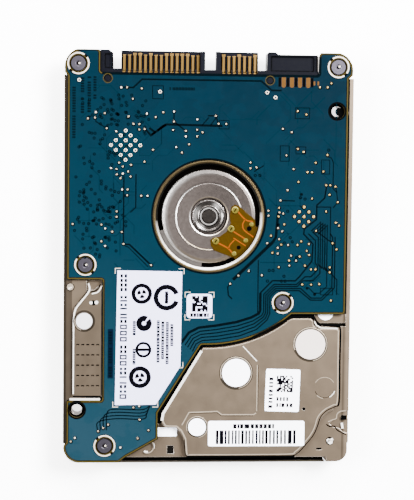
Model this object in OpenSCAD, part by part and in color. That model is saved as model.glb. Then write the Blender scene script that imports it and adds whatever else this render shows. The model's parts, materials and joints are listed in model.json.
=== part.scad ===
// 2.5-inch hard disk drive, thin height class, lying on its cover with the circuit board up.
// X runs across the drive, Y towards the connector, Z from the cover face to the board side.

/* [Form factor] */
// Height from the cover face to the board side
drive_h = 7; // [7:0.5:9.5]
// Width across the side rails
drive_w = 69.85; // [69.75:0.05:70]
// Length from the connector tips to the cover lip
drive_l = 100.35; // [100.3:0.05:100.4]

/* [Mounting] */
// Distance of the front mounting holes from the connector end
hole_front = 14; // [13.9:0.1:14.1]
// Distance between the front and rear side holes
hole_pitch = 76.6; // [76.4:0.1:76.8]
// Height of the side holes below the board face
side_hole_drop = 3; // [2.9:0.1:3.1]
// Diameter of the tapped holes, M3 core
tap_d = 2.5; // [2.4:0.1:2.6]

/* [Disk] */
// Diameter of the platter
platter_d = 65; // [64:0.5:65]
// Thickness of the platter
platter_t = 0.8; // [0.6:0.1:0.8]

/* [Circuit board] */
// Thickness of the board
board_t = 0.8; // [0.7:0.05:0.8]
// Radius of the board's opening over the motor
motor_window_r = 13.9; // [13.9:0.1:14.2]

/* [Hidden] */
$fn = 64;
eps = 0.01;
half_w = drive_w / 2;
half_l = drive_l / 2;

// Heights, counted from the board side so that a taller drive only gets taller walls
cover_t = 0.5;
rim_z = 0.4;
gasket_z = rim_z + cover_t;
gasket_t = 0.3;
base_z = gasket_z + gasket_t;
board_top = drive_h - 0.4;
board_z = board_top - board_t;
film_t = 0.1;
well_z = drive_h - 2.3;
roof_z = well_z - 0.8;
rail_z = drive_h - 1;
window_z = drive_h - 0.5;
plateau_z = drive_h - 0.1;
vcm_roof_z = plateau_z - 0.7;
platter_z = drive_h - 4.3 - platter_t;
platter_top = platter_z + platter_t;

// Axes
spindle = [0, 10.5];
pivot = [7, -27.5];
park_angle = 156.7;
coil_angle = park_angle - 180;
latch_at = [29.6, -22];
cavity_r = 33.3;

// Fasteners and openings
board_screws = [[-31.6, 46.8], [31, 46.8], [-29.7, -1.4], [18.2, -10.4], [-24.85, -45.4]];
cover_screws = [[-31.4, 42.2], [31.4, 42.2], [-32.6, -6.9], [31.4, -10.4], [-29.6, -46], [30.4, -44.5]];
ramp_screw_at = [-28, -10.6];
face_holes = [[half_w - 4.07, half_l - hole_front], [-31.6, -36.6]];
side_hole_y = [half_l - hole_front, half_l - hole_front - hole_pitch];
side_hole_depth = 2.6;
peg_at = [[-24.6, 43.35], [14.4, 43.35]];
seal_spots = [[pivot, 3.42], [[-2.4, -40.8], 2.15], [[-29.9, -15], 1.95]];
port_seal = [[25.1, -20.5], 3.65];
ledge_seal = [[28.9, -12.7], 2];
pitch = 1.27;
contact_w = 0.8;
power_x0 = -20.65;
data_x0 = 3.3;
power_long = [0, 0, 1, 1, 0, 1, 0, 0, 1, 1, 1, 1, 1, 0, 0];
data_long = [1, 0, 0, 1, 0, 0, 1];
tongue_z = drive_h - 4.1;
tongue_t = 1.23;

// ---------- helpers ----------
function arc(c, r, a0, a1, n = 8) =
  [for (i = [0:n]) c + r * [cos(a0 + (a1 - a0) * i / n), sin(a0 + (a1 - a0) * i / n)]];

function sector(r0, r1, a0, a1, n = 16) =
  concat(arc([0, 0], r1, a0, a1, n), arc([0, 0], r0, a1, a0, n));

module at(p, z = 0) { translate([p[0], p[1], z]) children(); }

module slab(z0, z1) { translate([0, 0, z0]) linear_extrude(z1 - z0) children(); }

module rounded(x0, y0, x1, y1, r) {
  translate([x0 + r, y0]) square([x1 - x0 - 2 * r, y1 - y0]);
  translate([x0, y0 + r]) square([x1 - x0, y1 - y0 - 2 * r]);
  for (x = [x0 + r, x1 - r], y = [y0 + r, y1 - r]) translate([x, y]) circle(r);
}

module box(x0, y0, x1, y1) { translate([x0, y0]) square([x1 - x0, y1 - y0]); }

module ring(r0, r1) {
  difference() {
    circle(r1);
    circle(r0);
  }
}

module on_arm() { at(pivot) rotate(park_angle) children(); }

module torx_socket(r, depth) { rotate(30) cylinder(r = r, h = depth, $fn = 6); }

// ---------- outlines ----------
notch_x = [-27, 26.8];
notch_y = 44.5;
foot_y = -49.6;
inset_x = [-25, 29.5];
inset_y = -48.4;

// Footprint of the casting, with its notch for the connector and the set-back end wall
module base_outline() {
  difference() {
    union() {
      rounded(-half_w, -45, half_w, 44.1, 0.4);
      rounded(-34, -48.9, 30, 49.7, 3.6);
      rounded(-30, 30, 34, 49.6, 3.6);
      rounded(20, foot_y, 34.7, -30, 2.8);
    }
    box(notch_x[0], notch_y, notch_x[1], half_l + 1);
    box(inset_x[0], foot_y - 1, inset_x[1], inset_y);
  }
}

board_points = concat(
  [[-33.85, 43.9], [-34.5, 44.8]],
  arc([-30.4, 46], 4.15, 180, 90, 12),
  arc([-27.4, 49.35], 0.8, 90, 0),
  arc([-25.8, 45.3], 0.8, 180, 270),
  arc([25.7, 45.3], 0.8, 270, 360),
  arc([27.3, 49.2], 0.8, 180, 90),
  arc([30.2, 45.9], 4.1, 90, 0, 12),
  [[34.25, 45], [33.3, 44.1]],
  arc([32.9, -12.5], 0.4, 0, -90, 4),
  arc(spindle, 31, -49.1, -91.5, 20),
  arc([-1.2, -21.4], 0.9, 100, 146, 3),
  [[-12.2, -37.3], [-12.2, -43.6], [-19.8, -47.9], [-21.5, -49.2]],
  arc([-31, -45.7], 3.5, 270, 180, 10),
  [[-34.4, -45.2], [-33.85, -44.6], [-33.85, -34.6]],
  arc([-25.9, -34], 0.6, 270, 360, 4),
  arc([-25.9, -5.3], 0.6, 0, 90, 4),
  [[-33.85, -4.7]]
);

// Raised deck over the actuator and its magnets
plateau_points = concat(
  arc(spindle, 31.9, -92, -51.4, 16),
  [[20.6, -14.1]],
  arc([24.7, -15.2], 1.1, 90, 0, 5),
  arc([27.3, -15.1], 1.5, 185, 270, 5),
  arc([31.5, -17.2], 0.6, 90, 0, 5),
  arc([30.6, -34.6], 1.5, 0, -60, 5),
  arc([33.6, -43.2], 6.9, 112, 158, 8),
  [[26.5, -42.6], [25.6, -44], [22.6, -47.4]],
  arc([21, -46.4], 1.7, -60, -90, 3),
  arc([-3.9, -47], 1.1, 270, 180, 5),
  [[-5, -45.8], [-5.7, -43.6]],
  arc([-8.2, -42.2], 1.5, 20, 90, 5),
  arc([-10, -39.7], 1, 270, 180, 5),
  [[-11, -38], [-1.7, -22.2]]
);

// Raised pad in the board's side window
window_points = [[-32.6, -32.9], [-32.1, -33.4], [-25.5, -33.4], [-25.5, -5.7], [-27.5, -7.46],
                 [-28.8, -7.6], [-29.3, -8.7], [-30.9, -10.2], [-31.9, -11.3], [-32.5, -12.6]];

vcm_cavity_points = concat(
  arc(spindle, 32.9, -90.5, -51, 14),
  [[24.4, -15.2], [26.4, -17.4], [31.2, -17.4], [31.2, -34.4], [28, -37], [26.6, -39], [25.9, -41.6],
   [24.2, -44.2], [21.4, -47.2], [-3.6, -47.2], [-4.6, -43.4], [-6.6, -40.4], [-9.9, -39.6], [-9.9, -38]]
);

side_cavity_points = [[-31.4, -13], [-31.4, -31], [-28.4, -33.6], [-27.8, -41.6], [-8, -41.6], [2, -30], [3, -21],
                      [-20, -8], [-26, -8], [-30.6, -9]];

cover_crown_points = [[-30.9, -13.5], [-30.9, -30.8], [-27.9, -33.4], [-27.3, -41.1], [-8, -41.1],
                      [-4, -46.7], [21.2, -46.7], [23.8, -44], [25.4, -41.4], [27.6, -36.7], [30.7, -34.2],
                      [30.7, -17.9], [24, -14.5], [0, -5], [-25, -8.5], [-30, -9.6]];

// ---------- enclosure ----------
module raised_bosses() {
  for (p = board_screws) at(p, well_z) cylinder(r = 2.4, h = board_z - well_z);
  for (p = face_holes) at(p, well_z) cylinder(r = 2.9, h = board_z - film_t - well_z);
}

module motor_collar() {
  difference() {
    at(spindle) rotate_extrude()
      polygon([[12.4, well_z], [13.85, well_z], [13.85, drive_h - 1.25], [13.6, drive_h - 0.75],
               [13.2, drive_h - 0.7], [12.4, drive_h - 1.5]]);
    at(spindle, well_z - 0.1) linear_extrude(0.9) polygon(sector(12, 15, -66, -8));
  }
}

module rails() {
  box(-half_w, -44.9, -34.1, 44.1);
  box(33.9, -44, half_w, 44.1);
  box(-half_w, -34.3, -33.8, -5);
  box(-34.6, -34.3, -29.4, -5);
  intersection() {
    base_outline();
    union() {
      box(26.6, -60, 40, -16.2);
      box(19, -60, 40, -40);
    }
  }
}

module end_floor() {
  intersection() {
    base_outline();
    polygon([[-21, -48.6], [-18.6, -46.6], [-12.8, -43.4], [-12.8, -40.2], [-4, -40.2], [-4, -48.6]]);
  }
}

module cavities() {
  slab(base_z - 1, roof_z) {
    at(spindle) circle(cavity_r, $fn = 120);
    polygon(side_cavity_points);
  }
  slab(base_z - 1, vcm_roof_z) polygon(vcm_cavity_points);
  at([-24.3, 34.8], base_z - 1) rotate(45) translate([-4.6, -3, 0]) cube([9.2, 5, roof_z - base_z + 1]);
}

module tapped_holes() {
  for (p = board_screws) at(p, board_z - 1.5) cylinder(r = 0.8, h = 3);
  for (p = cover_screws) at(p, base_z - 1) cylinder(r = 0.8, h = 3.4);
  for (p = face_holes) at(p, -1) cylinder(d = tap_d, h = drive_h + 2);
  for (s = [-1, 1], y = side_hole_y)
    translate([s * (half_w - side_hole_depth), y + (s > 0 ? 0.01 : 0), drive_h - side_hole_drop])
      rotate([0, 90 * s, 0]) cylinder(d = tap_d, h = side_hole_depth + 1);
  at(ramp_screw_at, roof_z - 1) cylinder(r = 0.65, h = 1.5);
}

module base_casting() {
  color("rosybrown") difference() {
    union() {
      slab(base_z, well_z) base_outline();
      slab(well_z, rail_z) rails();
      slab(well_z, drive_h - 1.5) end_floor();
      slab(well_z, drive_h - 1.4) box(26.2, -15.4, 34.5, -9);
      slab(well_z, window_z) polygon(window_points);
      slab(well_z, plateau_z) polygon(plateau_points);
      slab(well_z, drive_h - 1.5) box(-29.6, -7.6, -25.5, -5.1);
      raised_bosses();
      motor_collar();
      at(pivot, vcm_roof_z - 0.5) cylinder(r = 3.6, h = 0.6);
      at(latch_at, vcm_roof_z - 0.3) cylinder(r = 1.6, h = 0.4);
    }
    cavities_without_pivot_boss();
    at(spindle, roof_z + 0.3) cylinder(r = 12.4, h = 4);
    at(spindle, roof_z - 1) cylinder(r = 11.6, h = 4);
    tapped_holes();
    at(pivot, vcm_roof_z + 0.1) cylinder(r = 2.8, h = 2);
    at(pivot, base_z) cylinder(r = 1.1, h = drive_h);
    at(port_seal[0], vcm_roof_z - 1) cylinder(r = 2.6, h = 3);
    at(seal_spots[1][0], vcm_roof_z - 1) cylinder(r = 1.3, h = 3);
    at(seal_spots[2][0], roof_z - 1) cylinder(r = 1.2, h = 4);
    at(ledge_seal[0], well_z + 0.2) cylinder(r = 1.2, h = 4);
    slab(roof_z - 1, well_z + 1) box(-20.2, -42.2, -13.8, -38.2);
    at([23.7, -36.4], plateau_z - 0.3) cylinder(r = 0.4, h = 1);
    slab(rail_z - 0.4, rail_z + 1) box(27.1, -46.65, 28.4, -46.2);
    side_hole_breakout();
    slab(drive_h - 1.7, drive_h) box(-9.6, -47.6, -8, -45.6);
    tooling_dots();
  }
}

module cavities_without_pivot_boss() {
  difference() {
    cavities();
    at(pivot, vcm_roof_z - 0.5) cylinder(r = 3.6, h = 1);
    at(latch_at, vcm_roof_z - 0.3) cylinder(r = 1.6, h = 1);
  }
}

// The rear side hole runs close under the corner ledge, which is milled away over it
module side_hole_breakout() {
  slab(drive_h - 2.2, drive_h) box(33.2, -39, 36, -38.2);
  slab(drive_h - 1.45, drive_h) {
    polygon([[32.2, -37.6], [33, -37], [36, -37], [36, -42.9], [33.8, -42.4], [32.6, -41.4],
             [31, -41], [30.2, -40.2], [31, -39.3], [32.1, -39]]);
  }
}

module tooling_dots() {
  for (x = [-31.4:1.2:-26.4], y = [-30.7:2.5:-20.6]) at([x, y], window_z - 0.12) cylinder(r = 0.2, h = 1, $fn = 16);
}

module cover_outline() {
  difference() {
    union() {
      base_outline();
      box(inset_x[0], -half_l, inset_x[1], -40);
    }
    for (p = cover_screws) translate(p) circle(1);
    for (p = face_holes) translate(p) circle(1.7);
  }
}

module top_cover() {
  color("silver") difference() {
    union() {
      difference() {
        slab(rim_z, gasket_z) cover_outline();
        slab(rim_z + 0.1, gasket_z + 1) {
          at(spindle) circle(32.3, $fn = 120);
          polygon([for (p = cover_crown_points) p * 0.985]);
        }
      }
      slab(0, cover_t) {
        at(spindle) circle(32.8, $fn = 120);
        polygon(cover_crown_points);
      }
      slab(gasket_z - eps, drive_h - 3.6) box(inset_x[0], -half_l, inset_x[1], -half_l + 0.4);
    }
    slab(-1, film_t) label_outline();
    at(pivot, -1) cylinder(r = 1.1, h = 3);
  }
}

module label_outline() { rounded(-25, -36, 1, 34, 2); rounded(-25, -6, 25, 34, 2); }

module cover_label() { color("white") slab(0, film_t) label_outline(); }

// Moves every corner of a counter-clockwise outline out by d
function unit(v) = v / norm(v);
function grow(p, d) = [for (i = [0:len(p) - 1])
  let(a = p[(i + len(p) - 1) % len(p)], b = p[i], c = p[(i + 1) % len(p)], u = unit(b - a), v = unit(c - b),
      m = unit([u[1] + v[1], -u[0] - v[0]]))
  b + m * d / max(0.5, m * [u[1], -u[0]])];

seal_path = concat(arc(spindle, cavity_r, -47, 215, 60), [
  [-30.6, -9], [-31.4, -13], [-31.4, -31], [-28.4, -33.6], [-27.8, -41.6], [-8, -41.6], [-7, -40.3], [-4.6, -43.4],
  [-3.6, -47.2], [21.4, -47.2], [24.2, -44.2], [25.9, -41.6], [26.6, -39], [28, -37], [31.2, -34.4],
  [31.2, -17.4], [26.4, -17.4], [24.4, -15.2]]);

module cover_gasket() {
  color("dimgray") slab(gasket_z, base_z) difference() {
    polygon(grow(seal_path, 1.1));
    polygon(grow(seal_path, 0.3));
  }
}

module edge_seal_strip() {
  color("black") slab(gasket_z, drive_h - 4.3) box(inset_x[0] + 0.3, -half_l + 0.45, inset_x[1] - 0.3, inset_y - 0.05);
}

module screw(head_r, head_h, shank_r, shank_l) {
  difference() {
    union() {
      translate([0, 0, -shank_l]) cylinder(r = shank_r, h = shank_l + eps);
      cylinder(r = head_r, h = head_h);
    }
    translate([0, 0, head_h - 0.28]) torx_socket(head_r * 0.42, 1);
  }
}

module cover_screws() {
  color("slategray") for (p = cover_screws) at(p, rim_z) mirror([0, 0, 1]) screw(1.6, 0.34, 0.78, 2.6);
}

// ---------- circuit board ----------
module circuit_board() {
  color("teal") difference() {
    slab(board_z, board_top) polygon(board_points);
    slab(board_z - 1, board_top + 1) {
      at(spindle) circle(motor_window_r, $fn = 96);
      for (p = face_holes) translate(p) circle(1.85);
      for (p = peg_at) translate(p) circle(0.95);
    }
    for (p = board_screws) {
      at(p, board_z - 1) cylinder(r = 1.05, h = 3);
      at(p, board_top - 0.4) cylinder(r = 2.12, h = 1);
    }
  }
}

module board_insulator() {
  color("dimgray") slab(board_z - film_t, board_z) difference() {
    union() {
      rounded(-33.4, -4.2, 32.8, 42.6, 0.5);
      polygon([[-24.6, 0], [-24.6, -44], [-12.9, -42.8], [-12.9, -37.2], [-2.2, -20.5], [6, -19.4], [14, -15.6],
               [24, -12], [32, -8.6], [32, 0]]);
      box(-33.2, -44, -20.2, -34.8);
      at(face_holes[0]) circle(2.4);
    }
    at(spindle) circle(16.2);
    for (p = face_holes) translate(p) circle(1.62);
    for (p = board_screws) translate(p) circle(2.6);
    at([-20.3, 27.5]) rotate(45) square(11, center = true);
    at([23.1, 10.6]) rotate(45) square(8, center = true);
    box(2.5, 30.5, 13.5, 39.5);
    box(17.2, 22.8, 23.8, 28.2);
    box(-29.8, 3, -23.8, 22.4);
    box(17.5, -5.6, 27.2, 3.6);
    box(-20.6, -42.6, -13.4, -37.8);
    box(-8.6, 28.8, -2.4, 35.4);
    box(16.6, 31.4, 26.6, 38.6);
    box(26.2, -15, 33, -9);
  }
}

module board_screws() {
  color("slategray") for (p = board_screws) at(p, board_top - 0.4) screw(1.86, 0.4, 0.78, 1.6);
}

module chip(p, w, d, h, turn = 0) { at(p, board_z - h) rotate(turn) translate([-w / 2, -d / 2, 0]) cube([w, d, h]); }

module controller_chip() { color("black") chip([-20.3, 27.5], 10, 10, 0.9, 45); }
module motor_driver_chip() { color("black") chip([23.1, 10.6], 7, 7, 0.85, 45); }
module cache_chip() { color("black") chip([8, 35], 10, 8, 0.8); }
module flash_chip() { color("black") chip([20.5, 25.5], 5.4, 4.2, 0.8); }

module board_capacitors() {
  color("burlywood") {
    for (i = [0:6]) chip([-29 + 1.6 * (i % 2), 5 + 2.6 * i], 0.6, 1.1, 0.6);
    for (i = [0:3]) chip([-25.2, 6 + 4 * i], 1.2, 2, 0.8);
    for (i = [0:4], j = [0:1]) chip([18.6 + 1.8 * i, -4.4 + 3 * j], 0.6, 1.1, 0.6);
    for (i = [0:3]) chip([18 + 2.1 * i, 32.8], 1.2, 2, 0.8);
  }
}

module board_inductors() {
  color("dimgray") {
    chip([-5.5, 32], 4, 4, 1);
    chip([24.2, 36.2], 3, 3, 1);
    chip([19.4, 36.4], 3, 3, 1);
  }
}

module head_connector() {
  color("black") difference() {
    chip([-17, -40.2], 6.6, 4.2, 0.9);
    for (i = [0:11]) translate([-19.6 + 0.47 * i, -41.5, board_z - 1]) cube([0.22, 2.6, 0.4]);
  }
}

module board_label() {
  color("white") slab(board_top, board_top + film_t)
    polygon([[-22, -2.7], [-6.35, -2.9], [-6.6, -25.9], [-12.5, -35.3], [-22.4, -35.4]]);
}

module board_code_label() { color("white") slab(board_top, board_top + film_t) rounded(-5.2, -14.2, 1, -8.3, 0.9); }
module serial_label() { color("white") slab(plateau_z, plateau_z + film_t) rounded(0.3, -45.5, 23.9, -39.3, 0.5); }

module deck_code_label() {
  color("white") at([18.4, -31.8], plateau_z) rotate(-1.6) linear_extrude(film_t) rounded(-4.2, -5.2, 4.2, 5.2, 0.4);
}

module spacer_label() {
  color("white") slab(drive_h - 1.5, drive_h - 1.4) rounded(-12.2, -43.3, -7.2, -41.1, 0.4);
}

module hole_seals() {
  color("white") {
    at(seal_spots[0][0], plateau_z) cylinder(r = seal_spots[0][1], h = film_t);
    at(seal_spots[1][0], plateau_z) cylinder(r = seal_spots[1][1], h = film_t);
    at(seal_spots[2][0], window_z) cylinder(r = seal_spots[2][1], h = film_t);
    at(ledge_seal[0], drive_h - 1.4) cylinder(r = ledge_seal[1], h = film_t);
  }
}

module port_seal() { color("linen") at(port_seal[0], plateau_z) cylinder(r = port_seal[1], h = film_t); }

// ---------- connector ----------
spine_y = [44.65, 45.7];
tip_y = half_l;
block_top = drive_h - 0.7;
tongue_top = tongue_z + tongue_t;

module contact_rows() {
  for (i = [0:14]) translate([power_x0 + i * pitch, 0, 0]) children();
  for (i = [0:6]) translate([data_x0 + i * pitch, 0, 0]) children();
}

module connector_housing() {
  color("black") difference() {
    union() {
      slab(tongue_z - 0.5, block_top) box(-26.4, spine_y[0], 26.2, spine_y[1]);
      slab(tongue_z - 0.5, block_top)
        polygon([[-26.4, 45], [-26.4, tip_y], [-24.3, tip_y], [-23.3, 49.4], [-23.2, 45]]);
      slab(tongue_z, tongue_top) {
        box(-21.4, 45, -1.2, tip_y);
        box(1.4, 45, 11.7, tip_y);
      }
      slab(tongue_z, tongue_top + 1.1) {
        box(-2.3, 45, -1.2, tip_y);
        box(1.4, 45, 2.5, tip_y);
      }
      slab(tongue_z - 0.5, block_top)
        polygon([[13.7, 45], [13.7, 49.8], [14.1, tip_y], [15.8, tip_y], [16.4, 49.6], [26, 49.6], [26, 45]]);
      slab(board_z - 0.8, board_z) {
        box(-26.2, 42.6, -23, 45);
        box(12.8, 42.6, 16, 45);
      }
      for (p = peg_at) at(p, board_z - 0.8) cylinder(r = 0.8, h = 1.4);
    }
    contact_rows() translate([-0.43, spine_y[0] - 1, tongue_top]) cube([0.86, 2.5, 4]);
    slab(block_top - 0.3, drive_h) {
      rounded(14.6, 45.6, 25.2, 49.1, 0.5);
      rounded(-25.5, 45.9, -23.9, 49.3, 0.3);
    }
  }
}

module contact(len) {
  translate([-contact_w / 2, 45, tongue_top]) cube([contact_w, 4.2 + 0.4 * len, 0.15]);
  translate([-contact_w / 2, 44.8, tongue_top]) cube([contact_w, 0.3, board_z - tongue_top]);
  translate([-contact_w / 2, 43.2, board_z - 0.15]) cube([contact_w, 1.9, 0.15]);
}

module power_contacts() {
  color("gold") for (i = [0:14]) translate([power_x0 + i * pitch, 0, 0]) contact(power_long[i]);
}

module data_contacts() {
  color("gold") for (i = [0:6]) translate([data_x0 + i * pitch, 0, 0]) contact(data_long[i]);
}

// ---------- spindle motor ----------
bracket_top = drive_h - 0.7;

module motor_bracket() {
  color("rosybrown") at(spindle) {
    rotate_extrude($fn = 96) polygon([
      [3.9, bracket_top - 0.9], [10.6, bracket_top - 0.9], [10.6, roof_z + 0.3], [12.38, roof_z + 0.3],
      [12.38, roof_z + 1.1], [11.35, roof_z + 1.1], [11.35, bracket_top - 0.45], [11.15, bracket_top - 0.15],
      [10.4, bracket_top], [8.15, bracket_top], [8, bracket_top - 0.12], [7.85, bracket_top],
      [4.7, bracket_top], [4.55, bracket_top - 0.1], [4.3, bracket_top - 0.1], [4.25, bracket_top - 0.55],
      [3.9, bracket_top - 0.55]]);
    translate([0, 0, roof_z + 1]) linear_extrude(bracket_top - 0.5 - roof_z - 1)
      polygon(sector(11.3, 12.37, 197, 262, 12));
  }
}

module bearing_sleeve() {
  color("silver") at(spindle) rotate_extrude() polygon([
    [1.54, roof_z - 0.4], [3.9, roof_z - 0.4], [3.9, bracket_top - 0.12], [3.65, bracket_top],
    [3.4, bracket_top - 0.05], [3.1, bracket_top - 0.3], [2.6, bracket_top - 0.3], [2.4, bracket_top - 0.15],
    [2.2, bracket_top - 0.15], [2.2, bracket_top - 0.8], [1.54, bracket_top - 0.8]]);
}

module bearing_end_cap() {
  color("silver") at(spindle) rotate_extrude() polygon([
    [0, bracket_top - 0.8], [2.2, bracket_top - 0.8], [2.2, bracket_top - 0.35], [1.8, bracket_top - 0.35],
    [1.65, bracket_top - 0.2], [0, bracket_top - 0.2]]);
}

slots = 9;

module stator_core() {
  color("gray") at(spindle, roof_z + 0.4) linear_extrude(0.8) {
    ring(9.4, 10.6);
    for (i = [0:slots - 1]) rotate(i * 360 / slots) {
      polygon([[7, -0.6], [9.8, -0.6], [9.8, 0.6], [7, 0.6]]);
      polygon(sector(6.6, 7.3, -14, 14, 4));
    }
  }
}

module stator_coils() {
  color("chocolate") at(spindle) for (i = [0:slots - 1]) rotate(i * 360 / slots) difference() {
    translate([7.4, -1.25, roof_z + 0.05]) cube([1.9, 2.5, 1.45]);
    translate([7, -0.62, roof_z + 0.39]) cube([3, 1.24, 0.82]);
  }
}

module spindle_hub() {
  color("silver") at(spindle) rotate_extrude($fn = 96) polygon([
    [1.5, platter_z - 0.4], [9.9, platter_z - 0.4], [9.9, platter_top], [11.8, platter_top], [11.8, platter_top + 0.5],
    [5.4, platter_top + 0.5], [5.4, roof_z + 1.3], [4.2, roof_z + 1.3], [4.2, platter_top + 0.6],
    [1.5, platter_top + 0.6]]);
}

module spindle_shaft() {
  color("silver") at(spindle, platter_z - 0.7) cylinder(r = 1.5, h = bracket_top - 1 - platter_z + 0.7);
}

module rotor_magnet() { color("dimgray") at(spindle, platter_top + 0.8) linear_extrude(1.6) ring(5.4, 6.35); }

module platter() {
  color("gainsboro") at(spindle, platter_z) linear_extrude(platter_t) difference() {
    circle(platter_d / 2, $fn = 128);
    circle(10);
  }
}

module disk_clamp() {
  color("silver") at(spindle, 0) rotate_extrude($fn = 96) polygon([
    [1.9, platter_z - 0.7], [11.6, platter_z - 0.7], [11.8, platter_z - 0.5], [11.8, platter_z], [10.6, platter_z],
    [10.2, platter_z - 0.4], [1.9, platter_z - 0.4]]);
}

module clamp_screws() {
  color("slategray") for (i = [0:2]) at(spindle) rotate(90 + i * 120) translate([6, 0, platter_z - 0.7]) difference() {
    mirror([0, 0, 1]) cylinder(r = 1.1, h = 0.3);
    translate([0, 0, -1]) torx_socket(0.5, 0.9);
  }
}

module flex_outline() {
  polygon([[5.2, 1.4], [5.5, 2.4], [6.3, 2.9], [7.2, 2.6], [11.2, -0.7], [11.4, -3.8], [10.5, -6.2],
           [6.4, -9.7], [5.8, -9.9], [1.3, -8.2], [0.5, -7], [0.4, -5.8], [1, -5.2], [2.6, -4.9],
           [4.3, -3.7], [5.3, -1.6], [5, 0.2]]);
}

module motor_flex() {
  color("goldenrod") at(spindle) {
    translate([0, 0, bracket_top]) linear_extrude(0.12) intersection() {
      flex_outline();
      circle(11.55);
    }
    intersection() {
      union() {
        translate([0, 0, drive_h - 1.75]) linear_extrude(1.17) ring(11.43, 11.55);
        translate([0, 0, drive_h - 1.75]) linear_extrude(0.12) ring(11.43, 15.6);
      }
      linear_extrude(drive_h) polygon(sector(5, 18, -58, -12, 6));
    }
  }
}

module flex_solder_joints() {
  color("khaki") at(spindle, bracket_top + 0.12) {
    for (p = [[6.35, 1.6], [5.4, -3], [1.7, -6]]) translate(p) cylinder(r1 = 0.85, r2 = 0.6, h = 0.16, $fn = 24);
    for (p = [[10.4, -1.9], [9, -5.8], [6.2, -9]]) translate(p) cylinder(r1 = 0.6, r2 = 0.4, h = 0.22, $fn = 24);
  }
}

// ---------- actuator ----------
arm_z = [platter_top + 0.3, platter_z - 0.9];
arm_t = 0.6;
coil_z = drive_h - 4;
coil_t = 1.2;
block_z = [platter_z - 0.7, drive_h - 1.6];

module arm_plate() {
  difference() {
    polygon([[2, -5.2], [22.4, -2], [23.4, -1], [23.4, 1], [22.4, 2], [2, 5.2]]);
    circle(4.6);
    polygon([[9.5, -1.7], [17.5, -0.9], [17.5, 0.9], [9.5, 1.7]]);
  }
}

module actuator_block() {
  color("silver") on_arm() {
    difference() {
      slab(block_z[0], block_z[1]) circle(5.5);
      slab(0, drive_h) circle(4.6);
    }
    for (z = arm_z) slab(z, z + arm_t) arm_plate();
  }
}

module pivot_shaft() {
  color("silver") at(pivot) difference() {
    union() {
      slab(gasket_z, vcm_roof_z - 0.5) circle(2);
      for (z = [block_z[0] + 0.2, block_z[1] - 1.3]) slab(z, z + 1.1) circle(2.45);
    }
    slab(vcm_roof_z - 2.5, drive_h) circle(1);
  }
}

module pivot_sleeve() {
  color("silver") at(pivot) {
    slab(block_z[0], block_z[1]) ring(4, 4.6);
    for (z = [block_z[0] + 0.2, block_z[1] - 1.3]) slab(z, z + 1.1) ring(3.55, 4);
  }
}

module pivot_balls() {
  color("silver") at(pivot) for (z = [block_z[0] + 0.75, block_z[1] - 0.75], i = [0:8])
    rotate(i * 40) translate([3, 0, z]) sphere(0.52, $fn = 24);
}

// The pivot's screw under the large round seal, and the one that holds the load ramp from inside
module internal_screws() {
  color("slategray") {
    at(pivot, vcm_roof_z + 0.1) screw(2.3, 0.45, 0.95, 2);
    at(ramp_screw_at, platter_z - 0.6) mirror([0, 0, 1]) screw(1.2, 0.4, 0.6, 3);
  }
}

module coil_plan() {
  difference() {
    polygon(sector(9, 18.4, 161, 199));
    polygon(sector(11.6, 16, 169, 191));
  }
}

module voice_coil() { color("chocolate") on_arm() slab(coil_z, coil_z + coil_t) coil_plan(); }

module coil_frame() {
  color("black") on_arm() slab(coil_z + 0.1, coil_z + coil_t - 0.1) difference() {
    union() {
      polygon(sector(5.2, 19.6, 157.5, 202.5));
      polygon(sector(19, 20.6, 190, 199.5, 4));
    }
    polygon(sector(9, 18.4, 161, 199));
    circle(5.5);
  }
}

module suspension() { polygon([[18.6, -1.6], [22, -1.8], [33.4, -0.7], [36, -0.25], [36, 0.25], [33.4, 0.7], [22, 1.8], [18.6, 1.6]]); }

module base_side_suspension() { color("silver") on_arm() slab(arm_z[0] - 0.1, arm_z[0]) suspension(); }
module cover_side_suspension() { color("silver") on_arm() slab(arm_z[1] + arm_t, arm_z[1] + arm_t + 0.1) suspension(); }

module head_sliders() {
  color("dimgray") on_arm() {
    slab(platter_top + 0.05, arm_z[0] - 0.1) box(32.2, -0.5, 33.4, 0.5);
    slab(arm_z[1] + arm_t + 0.1, platter_z - 0.05) box(32.2, -0.5, 33.4, 0.5);
  }
}

module preamp_chip() {
  color("black") on_arm() slab(platter_z, platter_z + 1.5)
    difference() {
      box(-1.6, 5, 1.6, 6.3);
      circle(5.5);
    }
}

module flex_loop() {
  color("goldenrod") slab(platter_z, platter_z + 1.6) {
    intersection() {
      at([-4.2, -34.4]) ring(3.9, 4.05);
      box(-9, -34.4, 0, -29);
    }
    intersection() {
      at([1.65, -34.4]) ring(1.8, 1.95);
      box(-1, -37, 4, -34.39);
    }
    box(-8.25, -38.6, -8.1, -34.39);
    box(-13.6, -38.6, -8.1, -38.45);
  }
}

module flex_bracket() {
  color("black") {
    slab(platter_z - 0.6, roof_z - 0.05) box(-20.6, -41.2, -13.65, -37.4);
    slab(roof_z - 0.06, board_z - 0.95) box(-20, -42, -14, -38.4);
  }
}

module plate_plan() {
  polygon(sector(8.5, 19.4, -100, 12, 24));
  polygon(sector(15, 22.6, -50, -21, 8));
}

module magnet_plates() {
  color("silver") at(pivot) {
    slab(vcm_roof_z - 0.8, vcm_roof_z) plate_plan();
    slab(platter_z - 0.9, platter_z - 0.1) plate_plan();
  }
}

module magnets() {
  color("gray") at(pivot) {
    slab(vcm_roof_z - 1.6, vcm_roof_z - 0.8) polygon(sector(9.5, 18.5, -74, -8, 16));
    slab(platter_z - 0.1, platter_z + 0.7) polygon(sector(9.5, 18.5, -74, -8, 16));
  }
}

module around_pivot(r, a) { at(pivot + r * [cos(a), sin(a)]) children(); }

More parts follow.
